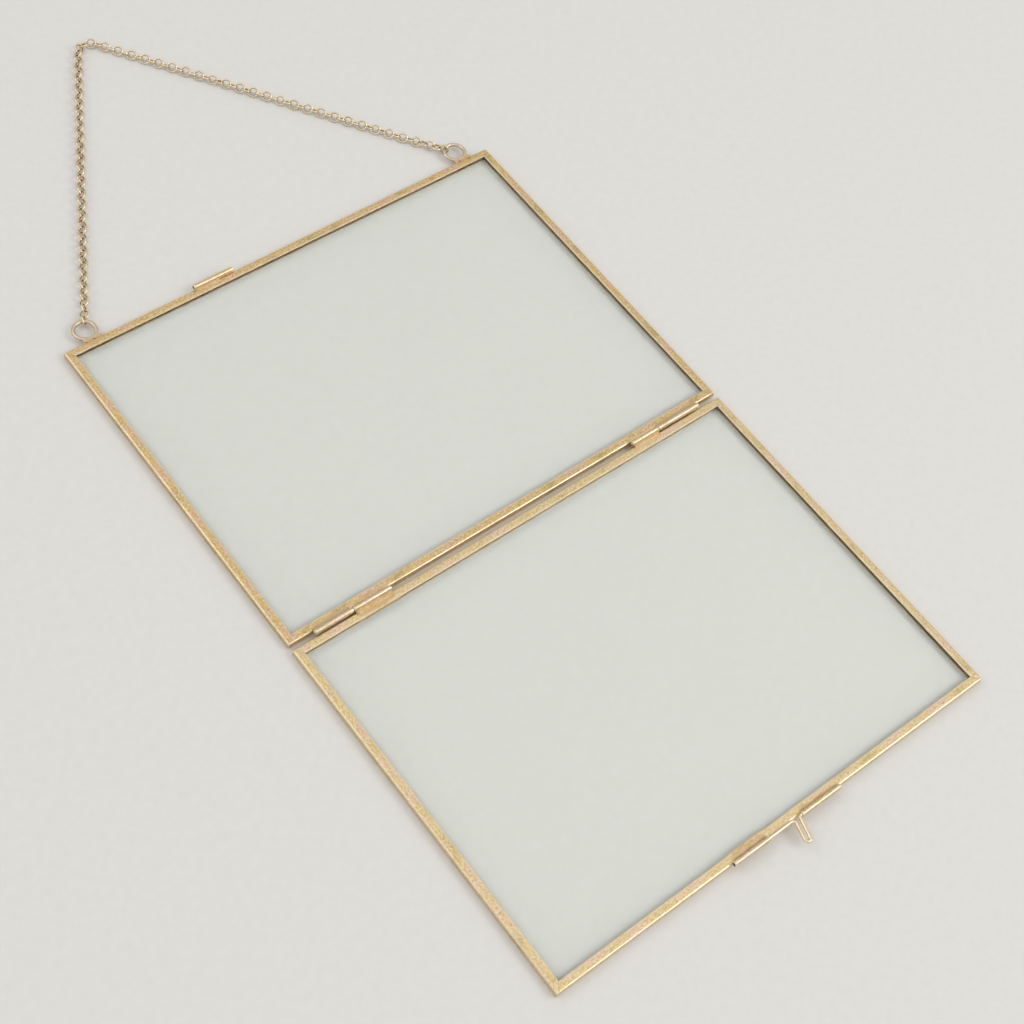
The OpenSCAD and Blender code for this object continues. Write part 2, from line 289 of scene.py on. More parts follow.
@dataclass(frozen=True)
class FoldedBrass:
    """Sheet brass, rolled, folded and left to tarnish: satin, mottled yellow, olive and pink, bright along the folds.

    It reads the piece's grain attribute, in metres along and round the sheet, its wear and highlight attribute, whose
    brightness on the folds is partly wear and partly a painted highlight, and its painted shade and stain attribute,
    which paints shade inside the channels and the bores.
    """

    name: str = "folded_satin_brass"
    yellow: str = "#E4C074"
    tan: str = "#DEBE8A"
    pink: str = "#E4BA9A"
    olive: str = "#B69E5E"
    rubbed_and_highlight: str = "#FCEED2"
    grime_and_shade: str = "#6E5636"
    roughness: tuple[float, float] = (0.28, 0.46)

    def build(self) -> bpy.types.Material:
        """Builds the material's nodes.

        Returns:
            The material.
        """
        material, shader = fresh_material(self.name)
        tree = material.node_tree
        grain = add(tree, "ShaderNodeAttribute", attribute_name="grain").outputs["Vector"]
        wear_and_highlight, painted_shade_and_stain = (add(tree, "ShaderNodeAttribute", attribute_name=name).outputs["Fac"]
                        for name in ("wear_and_highlight", "painted_shade_and_stain"))
        # Each pattern's length along the rolling direction and its width, in mm, its detail, roughness and place:
        # clouds of tarnish, handling stains, freckles, rolling lines, and a light and dark speckle of some 0.7 mm
        # that is drawn as coarse as it needs to show
        patterns = []
        for along, across, detail, rough, at in (
                (6, 3, 4.0, 0.6, (0.0, 0.0, 0.0)), (11, 6, 3.0, 0.5, (7.3, 2.1, 0.0)),
                (1.2, 0.8, 3.0, 0.5, (0.0, 0.0, 0.0)), (15, 0.12, 2.0, 0.5, (0.0, 0.0, 0.0)),
                (0.9, 0.6, 1.0, 0.5, (3.7, 9.1, 0.0))):
            place = add(tree, "ShaderNodeMapping", {"Vector": grain, "Location": at,
                                                    "Scale": (1 / (along * MM), 1 / (across * MM), 1.0)})
            patterns.append(add(tree, "ShaderNodeTexNoise", {"Vector": place.outputs[0], "Scale": 1.0,
                                                             "Detail": detail, "Roughness": rough}).outputs["Fac"])
        clouds, stains, freckles, lines, speckle = patterns
        patchy = add(tree, "ShaderNodeMapRange", {"Value": freckles, "From Min": 0.35, "From Max": 0.6,
                                                  "To Min": 0.45})
        # Wear on the folds and cut edges, broken up by the freckles; on the folds it is also a painted highlight
        edge_wear_and_highlight = add(tree, "ShaderNodeMath", {"Value": wear_and_highlight, "Value_001": output(patchy, "Result")},
                        operation="MULTIPLY").outputs[0]
        # The grime and shade tint darkens the freckles, which are dirt, and paints shade inside the channels and bores
        colour = layered(tree, linear(self.yellow), (
            (clouds, 0.42, 0.58, 1.0, self.tan), (stains, 0.50, 0.60, 0.85, self.pink),
            (stains, 0.45, 0.36, 0.65, self.olive), (freckles, 0.58, 0.72, 0.5, self.grime_and_shade),
            (speckle, 0.50, 0.68, 0.5, self.rubbed_and_highlight), (speckle, 0.50, 0.34, 0.5, self.olive),
            (lines, 0.35, 0.70, 0.15, self.rubbed_and_highlight), (edge_wear_and_highlight, 0.0, 1.0, 1.0, self.rubbed_and_highlight),
            (painted_shade_and_stain, 0.0, 1.0, 0.8, self.grime_and_shade)))
        height = add(tree, "ShaderNodeMath", {"Value": lines, "Value_001": freckles}, operation="ADD").outputs[0]
        make_metal(tree, shader, colour, clouds, self.roughness, (height, 0.25, 0.03 * MM))
        return material


@dataclass(frozen=True)
class DrawnBrass:
    """Brass wire and tube, drawn through a die: smoother and brighter than the sheet, with painted shade on the insides
    of the chain's links.

    It reads the piece's painted shade and stain attribute, its tone attribute and Object coordinates.
    """

    name: str = "drawn_brass_wire"
    bright: str = "#F8E6C4"
    warm: str = "#E2C294"
    painted_inner_shade: str = "#6E5434"
    roughness: tuple[float, float] = (0.22, 0.36)

    def build(self) -> bpy.types.Material:
        """Builds the material's nodes.

        Returns:
            The material.
        """
        material, shader = fresh_material(self.name)
        tree = material.node_tree
        place = add(tree, "ShaderNodeTexCoord").outputs["Object"]
        painted_shade_and_stain, tone = (add(tree, "ShaderNodeAttribute", attribute_name=name).outputs["Fac"]
                        for name in ("painted_shade_and_stain", "tone"))
        # Tarnish clouds of about 2.5 mm, and drawing marks of 0.4 mm
        clouds, marks = (add(tree, "ShaderNodeTexNoise", {"Vector": place, "Scale": 1 / (size * MM),
                                                          "Detail": detail}).outputs["Fac"]
                         for size, detail in ((2.5, 4.0), (0.4, 2.0)))
        blend = add(tree, "ShaderNodeMath", {"Value": clouds, "Value_001": tone}, operation="ADD").outputs[0]
        # Painted shade where the painted shade and stain attribute is set: on the insides of the chain's links
        colour = layered(tree, linear(self.bright), ((blend, 0.35, 1.25, 1.0, self.warm),
                                                     (painted_shade_and_stain, 0.25, 1.0, 0.85, self.painted_inner_shade)))
        make_metal(tree, shader, colour, clouds, self.roughness, (marks, 0.2, 0.02 * MM))
        return material


@dataclass(frozen=True)
class SolderedBrass:
    """Brass plated over soft solder: lumpy, dull, greyish pink with yellow where the plating is thick.

    It reads the piece's painted shade and stain attribute, which browns its pits and paints shade along the creases
    of its seams, its brassy attribute, which yellows it, and Object coordinates.
    """

    name: str = "soldered_brass"
    pink: str = "#E6CCB2"
    yellow: str = "#E0C48C"
    grey: str = "#A8947A"
    pit_stain_and_shade: str = "#5E4226"
    plated: str = "#DEBC84"
    roughness: tuple[float, float] = (0.36, 0.55)

    def build(self) -> bpy.types.Material:
        """Builds the material's nodes.

        Returns:
            The material.
        """
        material, shader = fresh_material(self.name)
        tree = material.node_tree
        place = add(tree, "ShaderNodeTexCoord").outputs["Object"]
        brassy, painted_shade_and_stain = (add(tree, "ShaderNodeAttribute", attribute_name=name).outputs["Fac"]
                          for name in ("brassy", "painted_shade_and_stain"))
        # Flow clouds of 1.8 mm and pits of 0.35 mm
        clouds, pits = (add(tree, "ShaderNodeTexNoise", {"Vector": place, "Scale": 1 / (size * MM),
                                                         "Detail": 3.0}).outputs["Fac"] for size in (1.8, 0.35))
        # Brown in the pits, which is stain, and painted shade along the creases of the seams
        colour = layered(tree, linear(self.pink), (
            (clouds, 0.4, 0.62, 1.0, self.yellow), (brassy, 0.0, 1.0, 0.85, self.plated),
            (pits, 0.52, 0.70, 0.7, self.grey), (painted_shade_and_stain, 0.0, 1.0, 0.85, self.pit_stain_and_shade)))
        make_metal(tree, shader, colour, pits, self.roughness, (pits, 0.5, 0.06 * MM))
        return material


@dataclass(frozen=True)
class FloatGlass:
    """Float glass, cut and not washed: clear, with a faint grey veil and specks of dust that scatter the light."""

    name: str = "clear_float_glass"
    tint: str = "#F8FAF8"
    veil: str = "#DADCD8"
    ior: float = 1.52

    def build(self) -> bpy.types.Material:
        """Builds the material's nodes, clear for lamps, so that they reach what lies below.

        Returns:
            The material.
        """
        material, shader = fresh_material(self.name)
        tree = material.node_tree
        place = add(tree, "ShaderNodeTexCoord").outputs["Object"]
        # One speck in some 9 mm, each about 0.3 mm across, and wipe marks of 40 mm
        cells = add(tree, "ShaderNodeTexVoronoi", {"Vector": place, "Scale": 1 / (9 * MM)})
        wipes = add(tree, "ShaderNodeTexNoise", {"Vector": place, "Scale": 1 / (40 * MM),
                                                 "Detail": 3.0}).outputs["Fac"]
        shader.inputs["IOR"].default_value = self.ior
        shader.inputs["Transmission Weight"].default_value = 1.0
        colour = layered(tree, linear(self.tint), ((cells.outputs["Distance"], 0.02, 0.012, 1.0, self.veil),))
        tree.links.new(colour, shader.inputs["Base Color"])
        wiped = add(tree, "ShaderNodeMapRange", {"Value": wipes, "From Min": 0.35, "From Max": 0.7, "To Max": 0.04})
        tree.links.new(output(wiped, "Result"), shader.inputs["Roughness"])
        passing = add(tree, "ShaderNodeBsdfTransparent", {"Color": linear(self.tint)})
        lamps = add(tree, "ShaderNodeLightPath").outputs["Is Shadow Ray"]
        both = add(tree, "ShaderNodeMixShader", {"Fac": lamps, "Shader": shader.outputs["BSDF"],
                                                 "Shader_001": passing.outputs["BSDF"]})
        surface = next(n for n in tree.nodes if n.type == "OUTPUT_MATERIAL").inputs["Surface"]
        tree.links.new(both.outputs["Shader"], surface)
        return material


@dataclass(frozen=True)
class PaintedFloor:
    """Matt painted board, pale and plain, with a barely visible roller texture."""

    name: str = "matt_painted_floor"
    pale: str = "#E6E4E0"
    shade: str = "#DFDDD8"

    def build(self) -> bpy.types.Material:
        """Builds the material's nodes.

        Returns:
            The material.
        """
        material, shader = fresh_material(self.name)
        tree = material.node_tree
        place = add(tree, "ShaderNodeTexCoord").outputs["Object"]
        # Roller texture of 3 mm
        roller = add(tree, "ShaderNodeTexNoise", {"Vector": place, "Scale": 1 / (3 * MM)}).outputs["Fac"]
        shader.inputs["Roughness"].default_value = 0.9
        colour = layered(tree, linear(self.pale), ((roller, 0.0, 1.0, 1.0, self.shade),))
        tree.links.new(colour, shader.inputs["Base Color"])
        return material


@dataclass
class Workshop:
    """Makes meshes and objects, and reports each piece."""

    finishes: dict[str, bpy.types.Material] = field(default_factory=dict)

    def dress(self, piece: bpy.types.Object, finish: str) -> None:
        """Gives a piece its one material."""
        piece.data.materials.clear()
        piece.data.materials.append(self.finishes[finish])

    def piece(self, name: str, points: np.ndarray, faces: Sequence[Sequence[int]], finish: str,
              attributes: dict[str, np.ndarray] | None = None, smooth_below: float = 35.0) -> bpy.types.Object:
        """Makes one piece from its points and faces.

        Args:
            name: The piece's name.
            points: Its points, in metres in the row frame.
            faces: Indices of the points of each face, turning to face outward.
            finish: The name of its finish.
            attributes: A number or a vector for each point, by name.
            smooth_below: The angle between faces, in degrees, under which the edge is smooth.

        Returns:
            The piece's object.
        """
        mesh = bpy.data.meshes.new(name)
        mesh.from_pydata([tuple(p) for p in points], [], [tuple(f) for f in faces])
        for key, values in (attributes or {}).items():
            kind = "FLOAT_VECTOR" if values.ndim == 2 else "FLOAT"
            layer = mesh.attributes.new(key, kind, "POINT")
            layer.data.foreach_set("vector" if values.ndim == 2 else "value", values.astype(np.float32).ravel())
        mesh.update()
        mesh.validate()
        mesh.shade_smooth()
        mesh.set_sharp_from_angle(angle=math.radians(smooth_below))
        thing = bpy.data.objects.new(name, mesh)
        bpy.context.scene.collection.objects.link(thing)
        self.dress(thing, finish)
        return thing

    def settled(self, worker: bpy.types.Object, name: str, finish: str) -> bpy.types.Object:
        """Turns a worker object's modifiers into a plain mesh, and removes the worker.

        Args:
            worker: The object with its modifiers.
            name: The finished piece's name.
            finish: The name of its finish.

        Returns:
            The finished piece.
        """
        graph = bpy.context.evaluated_depsgraph_get()
        mesh = bpy.data.meshes.new_from_object(worker.evaluated_get(graph))
        mesh.name = name
        old = worker.data
        bpy.data.objects.remove(worker)
        bpy.data.meshes.remove(old)
        thing = bpy.data.objects.new(name, mesh)
        bpy.context.scene.collection.objects.link(thing)
        self.dress(thing, finish)
        return thing

    def wire(self, name: str, path: Sequence[Point], diameter: float, body: Body, node: str) -> None:
        """Draws a piece of wire along a path, whose first two and last two points make its rubbed ends.

        Args:
            name: The piece's name.
            path: The points of its middle line, in metres.
            diameter: Its diameter.
            body: The body that it rides on.
            node: The plain node that it replaces.
        """
        taper = [*RUBBED_END, *[1.0] * (len(path) - 2 * len(RUBBED_END)), *RUBBED_END[::-1]]
        worker = line_worker(f"{name}_line", path, {"taper": taper})
        with_inputs(worker, WireTree().build(), {"Wire diameter": diameter, "Sides": 24,
                                                 "Material": self.finishes["drawn_brass"]})
        self.fix(self.settled(worker, name, "drawn_brass"), body, [node], "pale_brass")

    def fix(self, piece: bpy.types.Object, body: Body, nodes: Sequence[str], slot: str) -> None:
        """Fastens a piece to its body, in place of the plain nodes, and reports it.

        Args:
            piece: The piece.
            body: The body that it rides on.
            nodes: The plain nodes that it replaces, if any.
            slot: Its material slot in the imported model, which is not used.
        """
        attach(piece, body.value)
        if nodes:
            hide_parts(*nodes)
        log.info("%s: %d faces, rides on %s", piece.name, len(piece.data.polygons), body.value)


def loft(sections: np.ndarray) -> tuple[np.ndarray, list[tuple[int, ...]]]:
    """Joins closed outlines into a skin with flat ends.

    Args:
        sections: Points of each outline, as an array of outline, point and coordinate. Each outline turns
            clockwise when it is seen from the next one.

    Returns:
        The points and the faces.
    """
    count, size, _ = sections.shape
    faces: list[tuple[int, ...]] = []
    for i in range(count - 1):
        for k in range(size):
            a, b = i * size + k, i * size + (k + 1) % size
            faces.append((a, b, b + size, a + size))
    faces.append(tuple(range(size - 1, -1, -1)))
    faces.append(tuple((count - 1) * size + k for k in range(size)))
    return sections.reshape(-1, 3), faces


def wobble(x: float, pitch: float, seed: float) -> float:
    """Smooth random height from -1 to 1 at a distance, over waves of about the pitch."""
    return noise.noise(Vector((x / pitch, seed * 17.31, seed * 5.77)))


@dataclass
class Leaf:
    """One leaf: four mitred rails of folded channel round a pane of glass."""

    shop: Workshop
    body: Body
    hinge_y: float = PLAN.hinge_y
    half_gap: float = PLAN.half_gap
    width: float = PLAN.leaf_w
    height: float = PLAN.leaf_h
    rail_t: float = PLAN.rail_t
    lip: float = PLAN.lip_w
    sheet: float = PLAN.sheet_t
    fold: float = PLAN.fold_r
    glass: float = PLAN.glass_t
    glass_play: float = PLAN.glass_play
    edge_play: float = 0.3 * MM
    mitre_play: float = 0.03 * MM
    ground_edge: float = 0.25 * MM
    section_step: float = 2.4 * MM
    rubbed_lip: tuple[float, float] = (0.03 * MM, 0.12 * MM)
    end_cuts: tuple[float, float] = (0.08 * MM, 0.25 * MM)
    end_shrinks: tuple[float, float] = (0.07 * MM, 0.02 * MM)
    wave_pitch: float = 24 * MM
    ripple_pitch: float = 4 * MM
    wall_pitch: float = 17 * MM

    def placement(self) -> Matrix:
        """Places the leaf, whose own frame has its hinge edge along X at the origin.

        Returns:
            The leaf's place.
        """
        if self.body is Body.BACK:
            return Matrix.Translation((0, self.hinge_y + self.half_gap, 0))
        return Matrix.Translation((0, self.hinge_y - self.half_gap, 0)) @ Matrix.Rotation(math.pi, 4, "Z")

    def edge_frame(self, edge: Edge) -> tuple[Matrix, float]:
        """Places an edge's rail in the leaf's own frame.

        Args:
            edge: The edge of the leaf.

        Returns:
            The rail's place, and its length.
        """
        half = self.width / 2
        turns = {
            Edge.HINGE: (Matrix.Translation((-half, 0, 0)), 0, self.width),
            Edge.FAR: (Matrix.Translation((half, self.height, 0)), 180, self.width),
            Edge.LEFT: (Matrix.Translation((-half, self.height, 0)), -90, self.height),
            Edge.RIGHT: (Matrix.Translation((half, 0, 0)), 90, self.height),
        }
        place, turn, length = turns[edge]
        return place @ Matrix.Rotation(math.radians(turn), 4, "Z"), length

    def profile(self) -> tuple[np.ndarray, np.ndarray, np.ndarray, np.ndarray]:
        """Cross-section of the channel, from its bottom lip round the wall to its top lip.

        Returns:
            The points of the sheet's middle, its outward normals, its half thickness and its wear, one each.
        """
        half, fold, top, lip = self.sheet / 2, self.fold, self.rail_t, self.lip
        middle: list[tuple[float, float]] = []
        normal: list[tuple[float, float]] = []
        for y in (lip, *(lip - back for back in self.rubbed_lip), lip * 0.72, lip * 0.46):
            middle.append((y, half))
            normal.append((0, -1))
        for k in range(6):
            turn = math.radians(-90 - 18 * k)
            normal.append((math.cos(turn), math.sin(turn)))
            middle.append((fold + (fold - half) * math.cos(turn), fold + (fold - half) * math.sin(turn)))
        for share in (1 / 3, 2 / 3):
            middle.append((half, fold + share * (top - 2 * fold)))
            normal.append((-1, 0))
        bottom = list(zip(middle[:11], normal[:11]))
        for (y, z), (a, b) in reversed(bottom):
            middle.append((y, top - z))
            normal.append((a, -b))
        count = len(middle)
        thickness = np.full(count, half)
        thickness[[0, -1]] = 0.55 * half
        thickness[[1, -2]] = 0.88 * half
        wear_and_highlight = np.zeros(count)
        # Handling brightens the folds and the lips' cut edges; on the folds this is also a painted highlight
        for ends, value in (((7, 8), 0.85), ((6, 9), 0.45), ((0, 1), 0.9), ((2, 2), 0.5)):
            for k in ends:
                wear_and_highlight[[k, count - 1 - k]] = value
        return np.array(middle), np.array(normal), thickness, wear_and_highlight

    def rail(self, node: str, edge: Edge, seed: int) -> None:
        """Builds one rail: a folded channel that is mitred at both ends and waves a little along its lips.

        Args:
            node: The plain node that it replaces.
            edge: The edge of the leaf that it lies on.
            seed: The rail's own number, which sets its waves and stains.
        """
        middle, normal, thickness, wear_and_highlight = self.profile()
        count = len(middle)
        place, length = self.edge_frame(edge)
        place = self.placement() @ place
        steps = int(length / self.section_step)
        shares = [0.0, *(cut / length for cut in self.end_cuts)]
        shares += [k / steps for k in range(1, steps)]
        shares += [1 - s for s in reversed(shares[:3])]
        walk = np.concatenate([[0], np.cumsum(np.linalg.norm(np.diff(middle, axis=0), axis=1))])
        sections, grain, worn_and_highlight, painted_shade_and_stain = [], [], [], []
        for index, share in enumerate(shares):
            shrink = dict(enumerate(self.end_shrinks)).get(min(index, len(shares) - 1 - index), 0.0)
            outline = []
            for side in (1, -1):
                order = range(count) if side == 1 else range(count - 1, -1, -1)
                for k in order:
                    y, z = middle[k] + side * normal[k] * (thickness[k] - shrink)
                    x = self.mitre_play + y + share * (length - 2 * self.mitre_play - 2 * y)
                    reach = max(0.0, (y - self.fold) / (self.lip - self.fold))
                    upper = 1 if z > self.rail_t / 2 else 2
                    y += reach ** 2 * MM * (0.05 * wobble(x, self.wave_pitch, seed + upper)
                                            + 0.025 * wobble(x, self.ripple_pitch, seed))
                    y += (1 - min(1.0, reach * 3)) * 0.025 * MM * (0.5 + 0.5 * wobble(x, self.wall_pitch, seed + 0.5))
                    outline.append((x, y, z))
                    grain.append((x + seed * 0.41, walk[k] + (0 if side == 1 else 20 * MM), 0.0))
                    # The wear share is also a painted highlight along the folds
                    worn_and_highlight.append(wear_and_highlight[k] * (1.0 if side == 1 else 0.4) + (0.25 if shrink else 0.0))
                    # Painted shade on the sheet's inner side, inside the channel
                    painted_shade_and_stain.append(0.0 if side == 1 else 0.12)
            sections.append(outline)
        points, faces = loft(np.array(sections))
        ends = faces[-2:]
        faces = faces[:-2]
        for flip, end in ((True, ends[0]), (False, ends[1])):
            ring = sorted(end)
            for k in range(count - 1):
                quad = (ring[k], ring[k + 1], ring[2 * count - 2 - k], ring[2 * count - 1 - k])
                faces.append(quad[::-1] if flip else quad)
        points = np.array([place @ Vector(p) for p in points])
        # The front leaf's rails take a copy of the brass that is painted lighter, as painted light
        finish = "folded_brass" if self.body is Body.BACK else "front_brass_painted_light"
        piece = self.shop.piece(f"{node}_folded", points, faces, finish,
                                {"grain": np.array(grain), "wear_and_highlight": np.array(worn_and_highlight), "painted_shade_and_stain": np.array(painted_shade_and_stain)})
        self.shop.fix(piece, self.body, [node], "brass")

    def pane(self, node: str) -> None:
        """Builds the pane: a slab whose long edges are ground off, inside the channels.

        Args:
            node: The plain node that it replaces.
        """
        inset = self.sheet + self.edge_play
        half, z0 = self.width / 2 - inset, self.sheet + self.glass_play
        y0, y1, cut = inset, self.height - inset, self.ground_edge
        sections = []
        for z, back in ((z0, cut), (z0 + cut, 0.0), (z0 + self.glass - cut, 0.0), (z0 + self.glass, cut)):
            corners = ((-half + back, y0 + back), (half - back, y0 + back),
                       (half - back, y1 - back), (-half + back, y1 - back))
            sections.append([(x, y, z) for x, y in corners])
        points, faces = loft(np.array(sections))
        place = self.placement()
        points = np.array([place @ Vector(p) for p in points])
        piece = self.shop.piece(f"{node}_ground", points, faces, "glass", smooth_below=20)
        self.shop.fix(piece, self.body, [node], "glass")

    def build(self) -> None:
        """Builds the four rails and the pane."""
        if self.body is Body.BACK:
            rails = {"back_hinge_rail": Edge.HINGE, "back_top_rail": Edge.FAR, "back_left_rail": Edge.LEFT,
                     "back_right_rail": Edge.RIGHT}
            pane = "back_glass"
        else:
            rails = {"front_hinge_rail": Edge.HINGE, "front_free_rail": Edge.FAR, "front_left_rail": Edge.RIGHT,
                     "front_right_rail": Edge.LEFT}
            pane = "front_glass"
        for index, (node, edge) in enumerate(rails.items()):
            self.rail(node, edge, index + (1 if self.body is Body.BACK else 11))
        self.pane(pane)


@dataclass
class WireTree:
    """Geometry nodes that sweep round wire of a named width along a line of edges."""

    name: str = "wire_along_a_line"

    def build(self) -> bpy.types.NodeTree:
        """Builds the tree, whose inputs are the line, the wire's diameter, its sides and its material.

        Returns:
            The tree.
        """
        tree = bpy.data.node_groups.new(self.name, "GeometryNodeTree")
        face = tree.interface
        face.new_socket("Line", in_out="INPUT", socket_type="NodeSocketGeometry")
        face.new_socket("Wire diameter", in_out="INPUT", socket_type="NodeSocketFloat")
        face.new_socket("Sides", in_out="INPUT", socket_type="NodeSocketInt")
        face.new_socket("Material", in_out="INPUT", socket_type="NodeSocketMaterial")
        face.new_socket("Wire", in_out="OUTPUT", socket_type="NodeSocketGeometry")
        given = add(tree, "NodeGroupInput").outputs
        curve = add(tree, "GeometryNodeMeshToCurve", {"Mesh": given["Line"]}).outputs["Curve"]
        radius = add(tree, "ShaderNodeMath", {"Value": given["Wire diameter"], "Value_001": 0.5},
                     operation="MULTIPLY").outputs[0]
        round_wire = add(tree, "GeometryNodeCurvePrimitiveCircle",
                         {"Resolution": given["Sides"], "Radius": radius}, mode="RADIUS").outputs["Curve"]
        taper = output(add(tree, "GeometryNodeInputNamedAttribute", {"Name": "taper"}, data_type="FLOAT"),
                       "Attribute")
        wire = add(tree, "GeometryNodeCurveToMesh", {"Curve": curve, "Profile Curve": round_wire, "Scale": taper,
                                                     "Fill Caps": True}).outputs["Mesh"]
        smooth = add(tree, "GeometryNodeSetShadeSmooth", {"Geometry": wire, "Shade Smooth": True})
        real = add(tree, "GeometryNodeRealizeInstances", {"Geometry": smooth.outputs[0]}).outputs[0]
        dressed = add(tree, "GeometryNodeSetMaterial", {"Geometry": real, "Material": given["Material"]}).outputs[0]
        add(tree, "NodeGroupOutput", {"Wire": dressed})
        return tree


@dataclass
class ChainTree:
    """Geometry nodes that thread oval wire links on a path, rolled to either side by turns.

    The path's twist attribute, in radians, turns the links further.
    """

    name: str = "links_along_a_path"
    around: int = 26
    sides: int = 9
    most_tone: float = 0.4

    def build(self) -> bpy.types.NodeTree:
        """Builds the tree, whose inputs are the path, the links' sizes and roll, the seed and the material.

        Returns:
            The tree.
        """
        tree = bpy.data.node_groups.new(self.name, "GeometryNodeTree")
        face = tree.interface
        face.new_socket("Path", in_out="INPUT", socket_type="NodeSocketGeometry")
        for label, kind in (("Links", "Int"), ("Link radius", "Float"), ("Oval", "Float"), ("Wire diameter", "Float"),
                            ("Roll", "Float"), ("Loose roll", "Float"), ("Seam", "Float"), ("Seed", "Int"),
                            ("Material", "Material")):
            face.new_socket(label, in_out="INPUT", socket_type=f"NodeSocket{kind}")
        face.new_socket("Chain", in_out="OUTPUT", socket_type="NodeSocketGeometry")
        given = add(tree, "NodeGroupInput").outputs
        curve = add(tree, "GeometryNodeMeshToCurve", {"Mesh": given["Path"]}).outputs["Curve"]
        spaced = add(tree, "GeometryNodeResampleCurve", {"Curve": curve, "Count": given["Links"]}).outputs["Curve"]
        along = add(tree, "GeometryNodeInputTangent").outputs["Tangent"]
        facing = add(tree, "FunctionNodeAlignRotationToVector", {"Vector": along}, axis="X",
                     pivot_axis="AUTO").outputs["Rotation"]
        index = add(tree, "GeometryNodeInputIndex").outputs["Index"]
        parity = add(tree, "ShaderNodeMath", {"Value": index, "Value_001": 2.0}, operation="MODULO").outputs[0]
        turns = add(tree, "ShaderNodeMath", {"Value": parity, "Value_001": -2.0, "Value_002": 1.0},
                    operation="MULTIPLY_ADD").outputs[0]
        loose = output(add(tree, "FunctionNodeRandomValue",
                           {"Min_001": 0.0, "Max_001": given["Loose roll"], "Seed": given["Seed"]},
                           data_type="FLOAT"), "Value_001")
        roll = add(tree, "ShaderNodeMath", {"Value": given["Roll"], "Value_001": loose},
                   operation="SUBTRACT").outputs[0]
        twist = output(add(tree, "GeometryNodeInputNamedAttribute", {"Name": "twist"}, data_type="FLOAT"),
                       "Attribute")
        total = add(tree, "ShaderNodeMath", {"Value": turns, "Value_001": roll, "Value_002": twist},
                    operation="MULTIPLY_ADD").outputs[0]
        angles = add(tree, "ShaderNodeCombineXYZ", {"X": total}).outputs[0]
        rolled = add(tree, "FunctionNodeRotateRotation",
                     {"Rotation": facing, "Rotate By": add(tree, "FunctionNodeEulerToRotation",
                                                           {"Euler": angles}).outputs[0]},
                     rotation_space="LOCAL").outputs[0]
        open_ring = add(tree, "ShaderNodeMath", {"Value": 2 * math.pi, "Value_001": given["Seam"]},
                        operation="SUBTRACT").outputs[0]
        start = add(tree, "ShaderNodeMath", {"Value": given["Seam"], "Value_001": 0.5, "Value_002": math.pi / 2},
                    operation="MULTIPLY_ADD").outputs[0]
        arc = add(tree, "GeometryNodeCurveArc", {"Resolution": self.around, "Radius": given["Link radius"],
                                                 "Start Angle": start, "Sweep Angle": open_ring},
                  mode="RADIUS").outputs["Curve"]
        narrow = add(tree, "ShaderNodeCombineXYZ", {"X": 1.0, "Y": given["Oval"], "Z": 1.0}).outputs[0]
        arc = add(tree, "GeometryNodeTransform", {"Geometry": arc, "Scale": narrow}).outputs[0]
        wire_radius = add(tree, "ShaderNodeMath", {"Value": given["Wire diameter"], "Value_001": 0.5},
                          operation="MULTIPLY").outputs[0]
        round_wire = add(tree, "GeometryNodeCurvePrimitiveCircle",
                         {"Resolution": self.sides, "Radius": wire_radius}, mode="RADIUS").outputs["Curve"]
        link = add(tree, "GeometryNodeCurveToMesh", {"Curve": arc, "Profile Curve": round_wire,
                                                     "Fill Caps": True}).outputs["Mesh"]
        link = add(tree, "GeometryNodeSetShadeSmooth", {"Geometry": link, "Shade Smooth": True}).outputs[0]
        # Painted shade on each link's inside: a share that grows towards the wire's inner edge
        place = add(tree, "GeometryNodeInputPosition").outputs[0]
        flat = add(tree, "ShaderNodeVectorMath", {"Vector": place, "Vector_001": (1.0, 1.0, 0.0)},
                   operation="MULTIPLY").outputs["Vector"]
        out_by = add(tree, "ShaderNodeVectorMath", {"Vector": flat, "Vector_001": narrow},
                     operation="DIVIDE").outputs["Vector"]
        out_by = output(add(tree, "ShaderNodeVectorMath", {"Vector": out_by}, operation="LENGTH"), "Value")
        inward = add(tree, "ShaderNodeMath", {"Value": given["Link radius"], "Value_001": out_by},
                     operation="SUBTRACT").outputs[0]
        share = add(tree, "ShaderNodeMath", {"Value": inward, "Value_001": wire_radius},
                    operation="DIVIDE").outputs[0]
        link = add(tree, "GeometryNodeStoreNamedAttribute", {"Geometry": link, "Name": "painted_shade_and_stain", "Value": share},
                   data_type="FLOAT", domain="POINT").outputs[0]
        threaded = add(tree, "GeometryNodeInstanceOnPoints", {"Points": spaced, "Instance": link,
                                                              "Rotation": rolled}).outputs["Instances"]
        tone = output(add(tree, "FunctionNodeRandomValue",
                          {"Min_001": 0.0, "Max_001": self.most_tone, "Seed": given["Seed"]},
                          data_type="FLOAT"), "Value_001")
        threaded = add(tree, "GeometryNodeStoreNamedAttribute", {"Geometry": threaded, "Name": "tone",
                                                                 "Value": tone},
                       data_type="FLOAT", domain="INSTANCE").outputs[0]
        real = add(tree, "GeometryNodeRealizeInstances", {"Geometry": threaded}).outputs[0]
        dressed = add(tree, "GeometryNodeSetMaterial", {"Geometry": real, "Material": given["Material"]}).outputs[0]
        add(tree, "NodeGroupOutput", {"Chain": dressed})
        return tree


def with_inputs(worker: bpy.types.Object, tree: bpy.types.NodeTree, values: dict[str, Any]) -> None:
    """Puts a tree on a worker object and sets its inputs by their identifiers.

    Args:
        worker: The object that carries the line or path.
        tree: The geometry nodes.
        values: A value for each named input.
    """
    modifier = worker.modifiers.new(tree.name, "NODES")
    modifier.node_group = tree
    for item in tree.interface.items_tree:
        if item.item_type == "SOCKET" and item.in_out == "INPUT" and item.name in values:
            modifier[item.identifier] = values[item.name]


